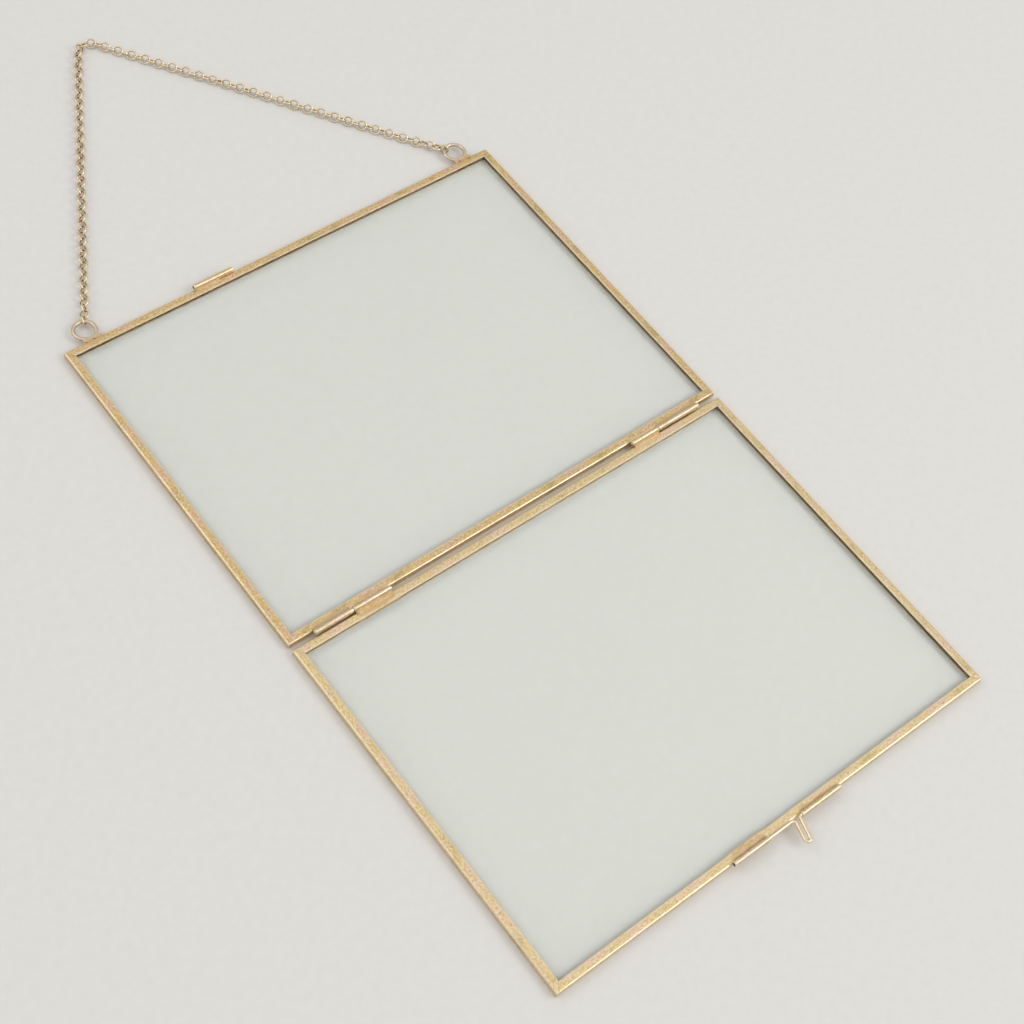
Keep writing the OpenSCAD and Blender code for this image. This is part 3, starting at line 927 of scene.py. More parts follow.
def line_worker(name: str, points: Sequence[Point], attributes: dict[str, Sequence[float]]) -> bpy.types.Object:
    """Makes a worker object that holds a line of edges.

    Args:
        name: The worker's name.
        points: The line's points, in metres.
        attributes: A number for each point, by name.

    Returns:
        The worker.
    """
    mesh = bpy.data.meshes.new(name)
    mesh.from_pydata(list(points), [(i, i + 1) for i in range(len(points) - 1)], [])
    for key, values in attributes.items():
        mesh.attributes.new(key, "FLOAT", "POINT").data.foreach_set("value", list(values))
    worker = bpy.data.objects.new(name, mesh)
    bpy.context.scene.collection.objects.link(worker)
    return worker


@dataclass
class HangingChain:
    """The chain: wire links on two straight strands joined by a bend, which lie on the floor and rise to the eyes."""

    shop: Workshop
    plan: Plan = PLAN
    oval: float = 0.89
    loose_roll: float = math.radians(8)
    end_twist: float = math.radians(30)
    drift: float = math.radians(9)
    drift_pitch: float = 13 * MM
    path_step: float = 2.0 * MM
    bend_steps: int = 12
    seam: float = math.radians(3)
    seed: int = 7

    def route(self) -> tuple[list[Point], list[float]]:
        """Follows the chain from the middle of its left end link to that of its right one.

        Returns:
            The points of the path, and the twist at each.
        """
        plan = self.plan
        eye_x, eye_y, eye_z = plan.eye_at
        left, right = np.array([-eye_x, eye_y]), np.array([eye_x, eye_y])
        corner = np.array([plan.chain_shift, eye_y + plan.chain_rise])
        up, down = corner - left, right - corner
        angle_up, angle_down = math.atan2(up[1], up[0]), math.atan2(down[1], down[0])
        turn = angle_up - angle_down
        tangent = plan.bend_r * math.tan(turn / 2)
        end_off = (plan.eye_d + plan.link_d) / 2 - plan.eye_wire - plan.link_wire - plan.end_play
        along_up, along_down = up / np.linalg.norm(up), down / np.linalg.norm(down)
        first, bend_in = left + end_off * along_up, corner - tangent * along_up
        bend_out, last = corner + tangent * along_down, right - end_off * along_down
        middle = bend_in + plan.bend_r * np.array([math.sin(angle_up), -math.cos(angle_up)])
        flat = list(np.linspace(first, bend_in, int(np.linalg.norm(bend_in - first) / self.path_step)))
        for k in range(1, self.bend_steps):
            angle = angle_up - turn * k / self.bend_steps
            flat.append(middle + plan.bend_r * np.array([-math.sin(angle), math.cos(angle)]))
        flat += list(np.linspace(bend_out, last, int(np.linalg.norm(last - bend_out) / self.path_step)))
        walked = np.concatenate([[0], np.cumsum(np.linalg.norm(np.diff(flat, axis=0), axis=1))])
        path, twist = [], []
        for (x, y), s in zip(flat, walked):
            near_eye = max(0.0, 1 - s / plan.rise_run, 1 - (walked[-1] - s) / plan.rise_run)
            path.append((float(x), float(y), plan.chain_z + (eye_z - plan.chain_z) * near_eye))
            free = 1 - min(1.0, 2 * near_eye)
            twist.append(self.end_twist * near_eye + self.drift * free * wobble(s, self.drift_pitch, 3.0))
        return path, twist

    def build(self) -> None:
        plan = self.plan
        path, twist = self.route()
        length = float(np.linalg.norm(np.diff(path, axis=0), axis=1).sum())
        link_r = (plan.link_d - plan.link_wire) / 2
        links = math.ceil(length / (2 * link_r - plan.link_wire - plan.link_play)) + 1
        worker = line_worker("chain_path", path, {"twist": twist})
        with_inputs(worker, ChainTree().build(), {
            "Links": links, "Link radius": link_r, "Oval": self.oval, "Wire diameter": plan.link_wire,
            "Roll": plan.link_tilt, "Loose roll": self.loose_roll, "Seam": self.seam, "Seed": self.seed,
            "Material": self.shop.finishes["chain_brass"]})
        chain = self.shop.settled(worker, "hanging_chain", "chain_brass")
        self.shop.fix(chain, Body.BACK, ["left_end_link", "left_chain_strand", "apex_link", "right_chain_strand",
                                         "right_end_link"], "pale_brass")
        log.info("chain: %d links over %.1f mm", links, length / MM)


@dataclass
class SolderPool:
    """A thin pool of solder that ran over a rail's fold and lip, and ends in an uneven edge.

    The leaf lies to +Y of the wall where side is 1, and to -Y where it is -1.
    """

    shop: Workshop
    name: str
    body: Body
    x: float
    length: float
    wall_y: float
    side: int
    reach: float
    thick: float = 0.10 * MM
    lumps: float = 0.5
    seed: int = 1
    finish: str = "solder"
    pits: tuple[tuple[float, float, float], ...] = ()
    brassy: float = 0.6
    plan: Plan = PLAN
    grid: float = 0.22 * MM
    down: float = 0.45 * MM
    sunk: float = 0.18 * MM
    lump_pitch: float = 0.95 * MM
    pit_share: float = 0.8
    past_lip: float = 0.35 * MM
    most_reach: float = 1.35
    taper_run: float = 2.2 * MM
    edge_pitches: tuple[float, float] = (3.1 * MM, 0.9 * MM)
    ragged: float = 0.45 * MM
    ragged_pitch: float = 0.8 * MM
    thin_at_edge: float = 0.5 * MM
    thin_at_ends: float = 0.6 * MM
    thin_at_foot: float = 0.3 * MM
    thin_at_lip: float = 0.12 * MM

    def surface(self, s: float) -> tuple[float, float, float, float]:
        """Follows the rail's skin up its wall, over the fold and along the lip.

        Args:
            s: The distance from the fold's lower end.

        Returns:
            The point there, in from the wall and up, and the skin's outward direction.
        """
        fold, top = self.plan.fold_r, self.plan.rail_t
        arc = fold * math.pi / 2
        if s < 0:
            return 0.0, top - fold + s, -1.0, 0.0
        if s < arc:
            turn = s / fold
            return fold - fold * math.cos(turn), top - fold + fold * math.sin(turn), -math.cos(turn), math.sin(turn)
        return fold + s - arc, top, 0.0, 1.0

    def build(self) -> None:
        """Builds the pool as a closed skin whose edge dips under the brass."""
        arc = self.plan.fold_r * math.pi / 2
        limit = arc + self.plan.lip_w - self.plan.fold_r + self.past_lip
        far = min(limit, arc + self.reach * self.most_reach)
        coarse, fine = self.edge_pitches
        columns = max(6, int(self.length / self.grid))
        rows = max(6, int((far + self.down) / self.grid))
        points: list[Point] = []
        painted_shade_and_stain: list[float] = []
        for depth in (0, 1):
            for i in range(columns + 1):
                x = self.length * i / columns
                taper = min(1.0, 0.3 + 0.7 * min(x, self.length - x) / self.taper_run)
                edge = arc + self.reach * taper * (0.82 + 0.42 * wobble(x, coarse, self.seed)
                                                   + 0.14 * wobble(x, fine, self.seed + 2))
                for k in range(rows + 1):
                    s = -self.down + (far + self.down) * k / rows
                    y, z, out_y, out_z = self.surface(s)
                    lead, trail = (self.ragged * (1 + wobble(s, self.ragged_pitch, self.seed + n)) for n in (4, 6))
                    margin = min((edge - s) / self.thin_at_edge, (x - lead) / self.thin_at_ends,
                                 (self.length - trail - x) / self.thin_at_ends,
                                 (s + self.down) / self.thin_at_foot, (limit - s) / self.thin_at_lip)
                    cover = max(-0.35, min(1.0, margin))
                    lump = noise.noise(Vector((x / self.lump_pitch, s / self.lump_pitch, self.seed * 3.3)))
                    height = self.thick * (cover if cover < 0 else math.sqrt(cover) * (0.75 + self.lumps * lump))
                    stain = 0.0
                    for pit_x, pit_s, pit_r in self.pits:
                        near = math.exp(-((x - pit_x) ** 2 + (s - pit_s) ** 2) / pit_r ** 2)
                        height -= near * self.pit_share * self.thick
                        stain = max(stain, near)
                    height = height if depth == 0 else -self.sunk
                    points.append((self.x + x, self.wall_y + self.side * (y + out_y * height), z + out_z * height))
                    painted_shade_and_stain.append(stain)
        size = rows + 1
        half = (columns + 1) * size
        faces: list[tuple[int, ...]] = []
        for i in range(columns):
            for k in range(rows):
                a = i * size + k
                faces.append((a, a + size, a + size + 1, a + 1))
                faces.append((a + half, a + half + 1, a + half + size + 1, a + half + size))
        rim = [k for k in range(rows + 1)] + [i * size + rows for i in range(1, columns + 1)]
        rim += [columns * size + k for k in range(rows - 1, -1, -1)] + [i * size for i in range(columns - 1, 0, -1)]
        for a, b in zip(rim, rim[1:] + rim[:1]):
            faces.append((a, b, b + half, a + half))
        if self.side < 0:
            faces = [f[::-1] for f in faces]
        attributes = {"painted_shade_and_stain": np.array(painted_shade_and_stain), "brassy": np.full(len(points), self.brassy)}
        piece = self.shop.piece(f"{self.name}_pool", np.array(points), faces, self.finish, attributes, smooth_below=80)
        self.shop.fix(piece, self.body, [], "brass")


@dataclass
class SolderDrop:
    """A bead of solder that set where it ran, half sunk in the brass."""

    shop: Workshop
    name: str
    body: Body
    at: Point
    size: Point
    brassy: float
    seed: int
    rings: int = 9
    sides: int = 14

    def build(self) -> None:
        """Builds the bead as a lumpy ball, drawn out along the three axes."""
        sections = []
        for i in range(self.rings):
            tilt = math.pi * (0.05 + 0.90 * i / (self.rings - 1))
            ring = []
            for k in range(self.sides):
                turn = 2 * math.pi * k / self.sides
                way = Vector((math.sin(tilt) * math.cos(turn), math.sin(tilt) * math.sin(turn), math.cos(tilt)))
                swell = 1 + 0.3 * noise.noise(way * 1.3 + Vector((self.seed, 0, 0)))
                ring.append([c + s * w * swell for c, s, w in zip(self.at, self.size, way)])
            sections.append(ring)
        points, faces = loft(np.array(sections))
        attributes = {"painted_shade_and_stain": np.zeros(len(points)), "brassy": np.full(len(points), self.brassy)}
        piece = self.shop.piece(f"{self.name}_bead", points, faces, "solder", attributes, smooth_below=60)
        self.shop.fix(piece, self.body, [], "brass")


@dataclass
class SolderedTube:
    """A length of drawn tube with its solder, on a hinge axis or beside a rail."""

    shop: Workshop
    node: str
    body: Body
    x: float
    length: float
    axis_y: float
    outer: float
    bore: float
    reach: float
    side: int
    spread: float = 0.5 * MM
    climb: float = math.radians(30)
    # Share of painted shade along the crease where the solder meets the tube
    seam: float = 0.0
    held: tuple[float, float] = (0.0, 1.0)
    finish: str = "solder"
    axis_z: float = PLAN.axis_z
    chamfer: float = 0.07 * MM
    end_margin: float = 0.25 * MM
    slice: float = 0.3 * MM
    lump_pitch: float = 2.2 * MM
    fine_pitch: float = 0.7 * MM
    seam_pitch: float = 1.3 * MM
    end_run: float = 1.1 * MM
    tube_step: float = 1.2 * MM
    dent_depth: float = 0.012 * MM
    dent_pitch: float = 3 * MM
    segments: int = 40
    seed: int = 1

    def tube(self) -> None:
        """Builds the tube: drawn, cut to length, its ends rubbed round."""
        r_out, r_in, cut, length = self.outer / 2, self.bore / 2, self.chamfer, self.length
        steps = max(4, int(length / self.tube_step))
        # Each ring's place, radius, wear and painted shade: along the outside from the left end, and back through the
        # bore, where the painted shade grows towards the middle
        line = [(0.0, r_out - cut, 1.0, 0.0), (0.3 * cut, r_out - 0.3 * cut, 1.0, 0.0), (cut, r_out, 0.8, 0.0)]
        line += [(cut + (length - 2 * cut) * k / steps, r_out, 0.0, 0.0) for k in range(1, steps)]
        line += [(length - cut, r_out, 0.8, 0.0), (length - 0.3 * cut, r_out - 0.3 * cut, 1.0, 0.0),
                 (length, r_out - cut, 1.0, 0.0), (length, r_in + 0.4 * cut, 0.6, 0.2),
                 (length - cut, r_in, 0.0, 0.7), (length - 8 * cut, r_in, 0.0, 1.0),
                 (8 * cut, r_in, 0.0, 1.0), (cut, r_in, 0.0, 0.7), (0.0, r_in + 0.4 * cut, 0.6, 0.2)]
        points, grain, wear_and_highlight, painted_shade_and_stain = [], [], [], []
        for x, r, worn_and_highlight, bore_shade in line:
            for k in range(self.segments):
                turn = 2 * math.pi * k / self.segments
                wave = wobble(x + 3 * r * math.sin(turn), self.dent_pitch, self.seed)
                dent = self.dent_depth * wave if bore_shade == 0 else 0.0
                points.append((self.x + x, self.axis_y + (r - abs(dent)) * math.cos(turn),
                               self.axis_z + (r - abs(dent)) * math.sin(turn)))
                grain.append((x + self.seed * 0.13, r * turn + 0.003 * self.seed, 0.0))
                wear_and_highlight.append(worn_and_highlight)
                painted_shade_and_stain.append(bore_shade)
        rows, size, faces = len(line), self.segments, []
        for i in range(rows):
            for k in range(size):
                a, b = i * size + k, i * size + (k + 1) % size
                c, d = ((i + 1) % rows) * size + (k + 1) % size, ((i + 1) % rows) * size + k
                faces.append((a, b, c, d)[::-1])
        attributes = {"grain": np.array(grain), "wear_and_highlight": np.array(wear_and_highlight), "painted_shade_and_stain": np.array(painted_shade_and_stain)}
        piece = self.shop.piece(f"{self.node}_drawn", np.array(points), faces, "tube_brass", attributes,
                                smooth_below=50)
        self.shop.fix(piece, self.body, [self.node], "brass")

    def solder(self) -> None:
        """Builds the solder: an uneven fillet that climbs the tube, runs over the rail's fold and hangs below it."""
        r, margin, face, foot = self.outer / 2, self.end_margin, self.reach, PLAN.rail_t - self.axis_z
        start_x, end_x = margin + self.held[0] * self.length, self.held[1] * self.length - margin
        steps = max(8, int((end_x - start_x) / self.slice))
        sections, painted_shade_and_stain = [], []
        for i in range(steps + 1):
            x = start_x + (end_x - start_x) * i / steps
            lump = 0.5 + 0.5 * wobble(x, self.lump_pitch, self.seed + 0.7)
            fine = wobble(x, self.fine_pitch, self.seed + 3.1)
            end = min(1.0, 0.4 + min(x - start_x, end_x - x) / self.end_run)
            rise = self.climb + math.radians(8) * fine
            top = np.array([r * 0.97 * math.cos(rise), r * 0.97 * math.sin(rise)])
            toe = np.array([face + PLAN.fold_r + self.spread * end * (0.45 + 0.55 * lump + 0.15 * fine),
                            foot + 0.01 * MM])
            bend = (top + toe) / 2 + np.array([-0.12 * MM, -0.12 * MM])
            outline = [(1 - t) ** 2 * top + 2 * t * (1 - t) * bend + t ** 2 * toe for t in (0, 0.2, 0.4, 0.6, 0.8, 1)]
            # Through the fold, down the rail's wall, under the tube and up the side of it that faces the wall
            outline += [(face + 0.4 * MM, foot - 0.25 * MM), (face + 0.06 * MM, foot - 0.6 * MM),
                        (face + 0.06 * MM, foot - 1.1 * MM + 0.25 * MM * (1 - lump)),
                        (face - 0.12 * MM, foot - 0.85 * MM + 0.2 * MM * fine),
                        (face * 0.55, -r - 0.2 * MM - 0.12 * MM * lump), (0.12 * MM, -r - 0.06 * MM * lump),
                        (0.0, -r * 0.93), (r * 0.6, -r * 0.71), (r * 0.91, -r * 0.17)]
            # Painted shade along the crease where the solder meets the tube, broken into dashes
            seam = self.seam * max(0.0, min(1.0, 0.6 + 2.2 * wobble(x, self.seam_pitch, self.seed + 5.5)))
            painted_shade_and_stain += [seam, seam * 0.7] + [0.0] * (len(outline) - 2)
            sections.append([(self.x + x, self.axis_y + self.side * y, self.axis_z + z) for y, z in outline])
        points, faces = loft(np.array(sections))
        if self.side > 0:
            faces = [f[::-1] for f in faces]
        attributes = {"painted_shade_and_stain": np.array(painted_shade_and_stain), "brassy": np.full(len(painted_shade_and_stain), 0.5)}
        piece = self.shop.piece(f"{self.node}_solder", points, faces, self.finish, attributes, smooth_below=60)
        self.shop.fix(piece, self.body, [], "brass")

    def build(self) -> None:
        """Builds the tube and its solder."""
        self.tube()
        self.solder()


@dataclass
class Hinges:
    """Two barrel hinges: each has a back knuckle, a front knuckle and a pin through both."""

    shop: Workshop
    hinge_y: float = PLAN.hinge_y
    axis_z: float = PLAN.axis_z
    outer: float = PLAN.knuckle_d
    bore: float = PLAN.pin_d + 2 * PLAN.run_play
    pin_d: float = PLAN.pin_d
    half_gap: float = PLAN.half_gap
    play: float = 0.2 * MM
    proud: float = 0.3 * MM
    left_x: float = -82.7 * MM
    left_back: float = 15 * MM
    left_front: float = 15 * MM
    right_x: float = 51.7 * MM
    right_front: float = 12 * MM
    right_back: float = 19 * MM

    def pin(self, node: str, x: float, length: float) -> None:
        """Builds a pin with rounded ends, a little longer than its knuckles.

        Args:
            node: The plain node that it replaces.
            x: The left end of the hinge.
            length: The length of the hinge.
        """
        ends = (x - self.proud, x + length + self.proud)
        xs = [ends[0] + o for o in END_OFFSETS] + [ends[1] - o for o in reversed(END_OFFSETS)]
        path = [(at, self.hinge_y, self.axis_z) for at in xs]
        self.shop.wire(f"{node}_cut", path, self.pin_d, Body.BACK, node)

    def build(self) -> None:
        """Builds the four knuckles with their solder, and the two pins."""
        gap = self.play / 2
        left_mid, right_mid = self.left_x + self.left_back, self.right_x + self.right_front
        back, front = self.hinge_y + self.half_gap, self.hinge_y - self.half_gap
        # Each knuckle's place and length, its solder's spread in mm, climb in degrees, share of painted shade along its
        # seam, its finish, painted lighter on the back knuckles and painted darker on the front ones, and its seed
        for node, body, x, length, spread, climb, seam, finish, seed in (
                ("left_back_knuckle", Body.BACK, self.left_x, self.left_back - gap, 1.3, 12, 0.0, "lee_solder_painted_light", 21),
                ("left_front_knuckle", Body.FRONT, left_mid + gap, self.left_front - gap, 1.4, 34, 0.3, "lit_solder_painted_shade",
                 22),
                ("right_front_knuckle", Body.FRONT, self.right_x, self.right_front - gap, 0.9, 18, 0.3,
                 "lit_solder_painted_shade", 23),
                ("right_back_knuckle", Body.BACK, right_mid + gap, self.right_back - gap, 0.8, 6, 0.2, "lee_solder_painted_light",
                 24)):
            SolderedTube(self.shop, node, body, x, length, self.hinge_y, self.outer, self.bore, self.half_gap,
                         1 if body is Body.BACK else -1, spread * MM, math.radians(climb), seam, finish=finish,
                         seed=seed).build()
        # Each pool's place, length, reach and thickness in mm, its lumpiness and its seed
        for name, body, x, length, wall, side, reach, thick, lumps, seed in (
                ("left_front_knuckle", Body.FRONT, -68.2, 16.2, front, -1, 2.3, 0.11, 0.9, 51),
                ("right_front_knuckle", Body.FRONT, 51.2, 12.6, front, -1, 1.0, 0.08, 0.7, 52),
                ("left_back_scuff", Body.BACK, -66.5, 13.0, back, 1, 1.1, 0.035, 0.5, 53),
                ("right_back_knuckle", Body.BACK, 63.2, 19.6, back, 1, 0.7, 0.06, 0.6, 54),
                ("right_back_corner", Body.BACK, 89.3, 2.3, back, 1, 0.8, 0.10, 0.4, 55)):
            SolderPool(self.shop, name, body, x * MM, length * MM, wall, side, reach * MM, thick * MM, lumps,
                       seed).build()
        SolderDrop(self.shop, "right_lip", Body.BACK, (73.5 * MM, back + PLAN.lip_w, PLAN.rail_t),
                   (0.75 * MM, 0.4 * MM, 0.25 * MM), 0.2, 61).build()
        SolderDrop(self.shop, "right_corner", Body.BACK, (91.5 * MM, back + 0.12 * MM, 2.0 * MM),
                   (0.4 * MM, 0.3 * MM, 0.9 * MM), 0.0, 62).build()
        self.pin("left_hinge_pin", self.left_x, self.left_back + self.left_front)
        self.pin("right_hinge_pin", self.right_x, self.right_front + self.right_back)


@dataclass
class Bolt:
    """The closing bolt: a keeper tube, two guide tubes and the bent wire that slides in them."""

    shop: Workshop
    bolt_y: float = PLAN.hinge_y - PLAN.bolt_off
    keeper_y: float = PLAN.hinge_y + PLAN.bolt_off
    axis_z: float = PLAN.axis_z
    wire: float = PLAN.bolt_d
    outer: float = PLAN.guide_d
    bore: float = PLAN.bolt_d + 2 * PLAN.run_play
    reach: float = PLAN.guide_out
    left_x: float = -20 * MM
    right_x: float = 22 * MM
    handle_left: float = PLAN.handle_left
    handle_right: float = PLAN.handle_right
    leg: float = PLAN.handle_leg
    lean: float = PLAN.handle_lean
    root_r: float = PLAN.handle_root_r
    left_root_r: float = 1.15 * MM
    tip_r: float = PLAN.handle_tip_r
    bend_step: float = math.radians(12)

    def path(self) -> list[Point]:
        """Follows the bolt's wire from its left end, through the hairpin handle, to its right end.

        Returns:
            The points of its middle line.
        """
        long_leg = self.leg + 2 * (self.root_r + self.tip_r) * math.tan(self.lean)
        quarter = math.pi / 2
        # The left root is bent wider than the right one, which takes as much from the runs on both its sides
        ease = (self.left_root_r - self.root_r) * math.tan((quarter + self.lean) / 2)
        runs = ((self.handle_left - self.left_x - ease, self.left_root_r, -quarter - self.lean),
                (self.leg - ease, self.tip_r, math.pi),
                (long_leg, self.root_r, self.lean - quarter),
                (self.right_x - self.handle_right, 0.0, 0.0))
        at, heading = np.array([self.left_x, self.bolt_y]), 0.0
        flat = [at + np.array([o, 0.0]) for o in END_OFFSETS]
        for straight, radius, turn in runs:
            at = at + straight * np.array([math.cos(heading), math.sin(heading)])
            flat.append(at)
            if not radius:
                break
            side = math.copysign(1.0, turn)
            middle = at + side * radius * np.array([-math.sin(heading), math.cos(heading)])
            steps = max(4, int(abs(turn) / self.bend_step))
            for k in range(1, steps + 1):
                angle = heading + turn * k / steps
                flat.append(middle + side * radius * np.array([math.sin(angle), -math.cos(angle)]))
            at, heading = flat[-1], heading + turn
        end = flat.pop()
        flat += [end - np.array([o, 0.0]) for o in reversed(END_OFFSETS)]
        return [(float(p[0]), float(p[1]), self.axis_z) for p in flat]

    def build(self) -> None:
        """Builds the three tubes and the wire."""
        # Each tube's place and length in mm and the side of its wall, its solder's spread in mm, climb in degrees,
        # share of painted shade along its seam, held length in shares, its finish, which is painted lighter, the reach
        # and thickness of its pool in mm, and its seed
        for node, body, x, length, side, spread, climb, seam, held, finish, reach, thick, seed in (
                ("keeper_tube", Body.BACK, -39.5, 16.3, -1, 0.8, 24, 0.0, (0.0, 0.66), "lee_solder_painted_light", 0.9, 0.07, 31),
                ("left_guide_tube", Body.FRONT, -22.0, 15.0, 1, 1.0, 10, 0.9, (0.06, 1.0), "lee_solder_painted_light", 2.5, 0.10,
                 32),
                ("right_guide_tube", Body.FRONT, 7.0, 17.0, 1, 0.8, 10, 0.8, (0.0, 1.0), "lee_solder_painted_light", 1.1, 0.07,
                 33)):
            y = self.keeper_y if side < 0 else self.bolt_y
            SolderedTube(self.shop, node, body, x * MM, length * MM, y, self.outer, self.bore, self.reach, side,
                         spread * MM, math.radians(climb), seam, held, finish, seed=seed).build()
            over = (held[1] - held[0]) * length
            SolderPool(self.shop, node, body, (x + held[0] * length - 0.4) * MM, (over + 0.8) * MM,
                       y + side * self.reach, side, reach * MM, thick * MM, 0.7, seed + 30).build()
        self.shop.wire("slide_bolt_wire", self.path(), self.wire, Body.BOLT, "slide_bolt")


@dataclass(frozen=True)
class EyeForm:
    """What sets one eye apart: its side, its wire's reach in degrees, and its solder's pits in mm from its middle."""

    node: str
    side: int
    wire_from: float
    wire_to: float
    pits: tuple[tuple[float, float, float], ...]
    seed: int


@dataclass
class Eyes:
    """The two hanging eyes: a ring of wire beside the wall, in a web of solder that runs over the rail's fold."""

    shop: Workshop
    plan: Plan = PLAN
    web: float = 1.35 * MM
    voxel: float = 0.1 * MM
    ring_steps: int = 72
    ring_sides: int = 20
    pool_back: float = 4.2 * MM
    pool_length: float = 9.6 * MM
    pool_reach: float = 1.9 * MM
    pool_thick: float = 0.06 * MM
    pool_brassy: float = 0.9
    pit_depth: float = 0.35 * MM
    # The fold's place below an eye's middle, in mm like the places of the pits
    fold_at: float = 5.7
    lump_pitch: float = 1.1 * MM
    forms: tuple[EyeForm, ...] = (
        EyeForm("left_eye", -1, -72, 253, ((1.0, -5.1, 0.45), (-2.2, -5.0, 0.3)), 41),
        EyeForm("right_eye", 1, -90, 270, ((-0.95, -5.05, 0.42), (2.7, -5.7, 0.5)), 42))

    def ring(self, form: EyeForm) -> tuple[list[Point], list[tuple[int, ...]]]:
        """Forms an eye's wire, thinner where its first end lies in the solder.

        Args:
            form: The eye's form.

        Returns:
            The points, from the eye's middle, and the faces.
        """
        major, minor = (self.plan.eye_d - self.plan.eye_wire) / 2, self.plan.eye_wire / 2
        steps, sides = self.ring_steps, self.ring_sides
        sections = []
        for i in range(steps + 1):
            turn = form.wire_from + (form.wire_to - form.wire_from) * i / steps
            a = math.radians(turn)
            sunk = form.wire_to - form.wire_from < 360 and turn < -30
            share = 0.55 + 0.45 * (turn - form.wire_from) / (-30 - form.wire_from) if sunk else 1.0
            sections.append([((major + share * minor * math.cos(b)) * math.cos(a),
                              (major + share * minor * math.cos(b)) * math.sin(a), share * minor * math.sin(b))
                             for b in (2 * math.pi * k / sides for k in range(sides))])
        points, faces = loft(np.array(sections))
        return [tuple(p) for p in points], [f[::-1] for f in faces]

    def web_block(self) -> tuple[list[Point], list[tuple[int, ...]]]:
        """Forms the solder between the ring and the rail, which fills the fold's corner.

        Returns:
            The points, from the eye's middle, and the faces.
        """
        plan = self.plan
        rise, size = plan.eye_gap + plan.eye_d / 2, plan.eye_d
        major = (size - plan.eye_wire) / 2
        left = ((-0.36, -0.09), (-0.355, 0.03), (-0.32, 0.12), (-0.31, 0.3))
        right = ((0.363, 0.4), (0.368, 0.25), (0.395, 0.11), (0.44, 0.03), (0.52, -0.09))
        outline = [(a * size, (b - 1) * rise) for a, b in left]
        outline += [(major * math.cos(math.radians(t)), major * math.sin(math.radians(t))) for t in range(-130, -39, 6)]
        outline += [(a * size, (b - 1) * rise) for a, b in right]
        sections = [[(x, y, z) for x, y in outline] for z in (-self.web / 2, self.web / 2)]
        points, faces = loft(np.array(sections))
        return [tuple(p) for p in points], list(faces)

    def build_one(self, form: EyeForm) -> None:
        """Builds one eye, its ring and solder run together, and the pool of solder on the lip behind it.

        Args:
            form: The eye's form.
        """
        x0, y0, z0 = self.plan.eye_at
        at = np.array([form.side * x0, y0, z0])
        points: list[Point] = []
        faces: list[tuple[int, ...]] = []
        for more_points, more_faces in (self.ring(form), self.web_block()):
            faces += [tuple(k + len(points) for k in f) for f in more_faces]
            points += more_points
        worker = self.shop.piece(f"{form.node}_worker", np.array(points) + at, faces, "solder")
        remesh = worker.modifiers.new("run_together", "REMESH")
        remesh.mode, remesh.voxel_size, remesh.use_smooth_shade = "VOXEL", self.voxel, True
        soften = worker.modifiers.new("soften", "SMOOTH")
        soften.factor, soften.iterations = 0.5, 5
        piece = self.shop.settled(worker, f"{form.node}_wire", "eye_brass")
        mesh = piece.data
        stains, plated = [], []
        # Places here are in mm from the eye's middle: the solder begins 2 below it, and its plating 3.9 below it
        for vertex, normal in zip(mesh.vertices, [v.normal.copy() for v in mesh.vertices]):
            x, y, _ = (vertex.co - Vector(at)) / MM
            solder = max(0.0, min(1.0, (-2.0 - y) / 1.5))
            lump = noise.noise(vertex.co / self.lump_pitch + Vector((form.seed, 0, 0)))
            vertex.co += normal * MM * (0.012 * lump - 0.08 * solder * max(0.0, lump))
            near = max(math.exp(-((x - a) ** 2 + (y - b) ** 2) / r ** 2) for a, b, r in form.pits)
            vertex.co.z -= self.pit_depth * near
            stains.append(near)
            plated.append(max(0.0, min(1.0, (-3.9 - y) / 0.7)))
        mesh.attributes.new("painted_shade_and_stain", "FLOAT", "POINT").data.foreach_set("value", stains)
        mesh.attributes.new("brassy", "FLOAT", "POINT").data.foreach_set("value", plated)
        self.shop.fix(piece, Body.BACK, [form.node], "pale_brass")
        wall = y0 - self.plan.eye_gap - self.plan.eye_d / 2
        start = at[0] - self.pool_back
        arc = self.plan.fold_r * math.pi / 2
        pits = tuple((self.pool_back + a * MM, arc - (self.fold_at + b) * MM, r * MM) for a, b, r in form.pits)
        SolderPool(self.shop, form.node, Body.BACK, start, self.pool_length, wall, -1, self.pool_reach,
                   self.pool_thick, 0.5, form.seed + 20, "solder", pits, self.pool_brassy).build()

    def build(self) -> None:
        """Builds both eyes."""
        for form in self.forms:
            self.build_one(form)


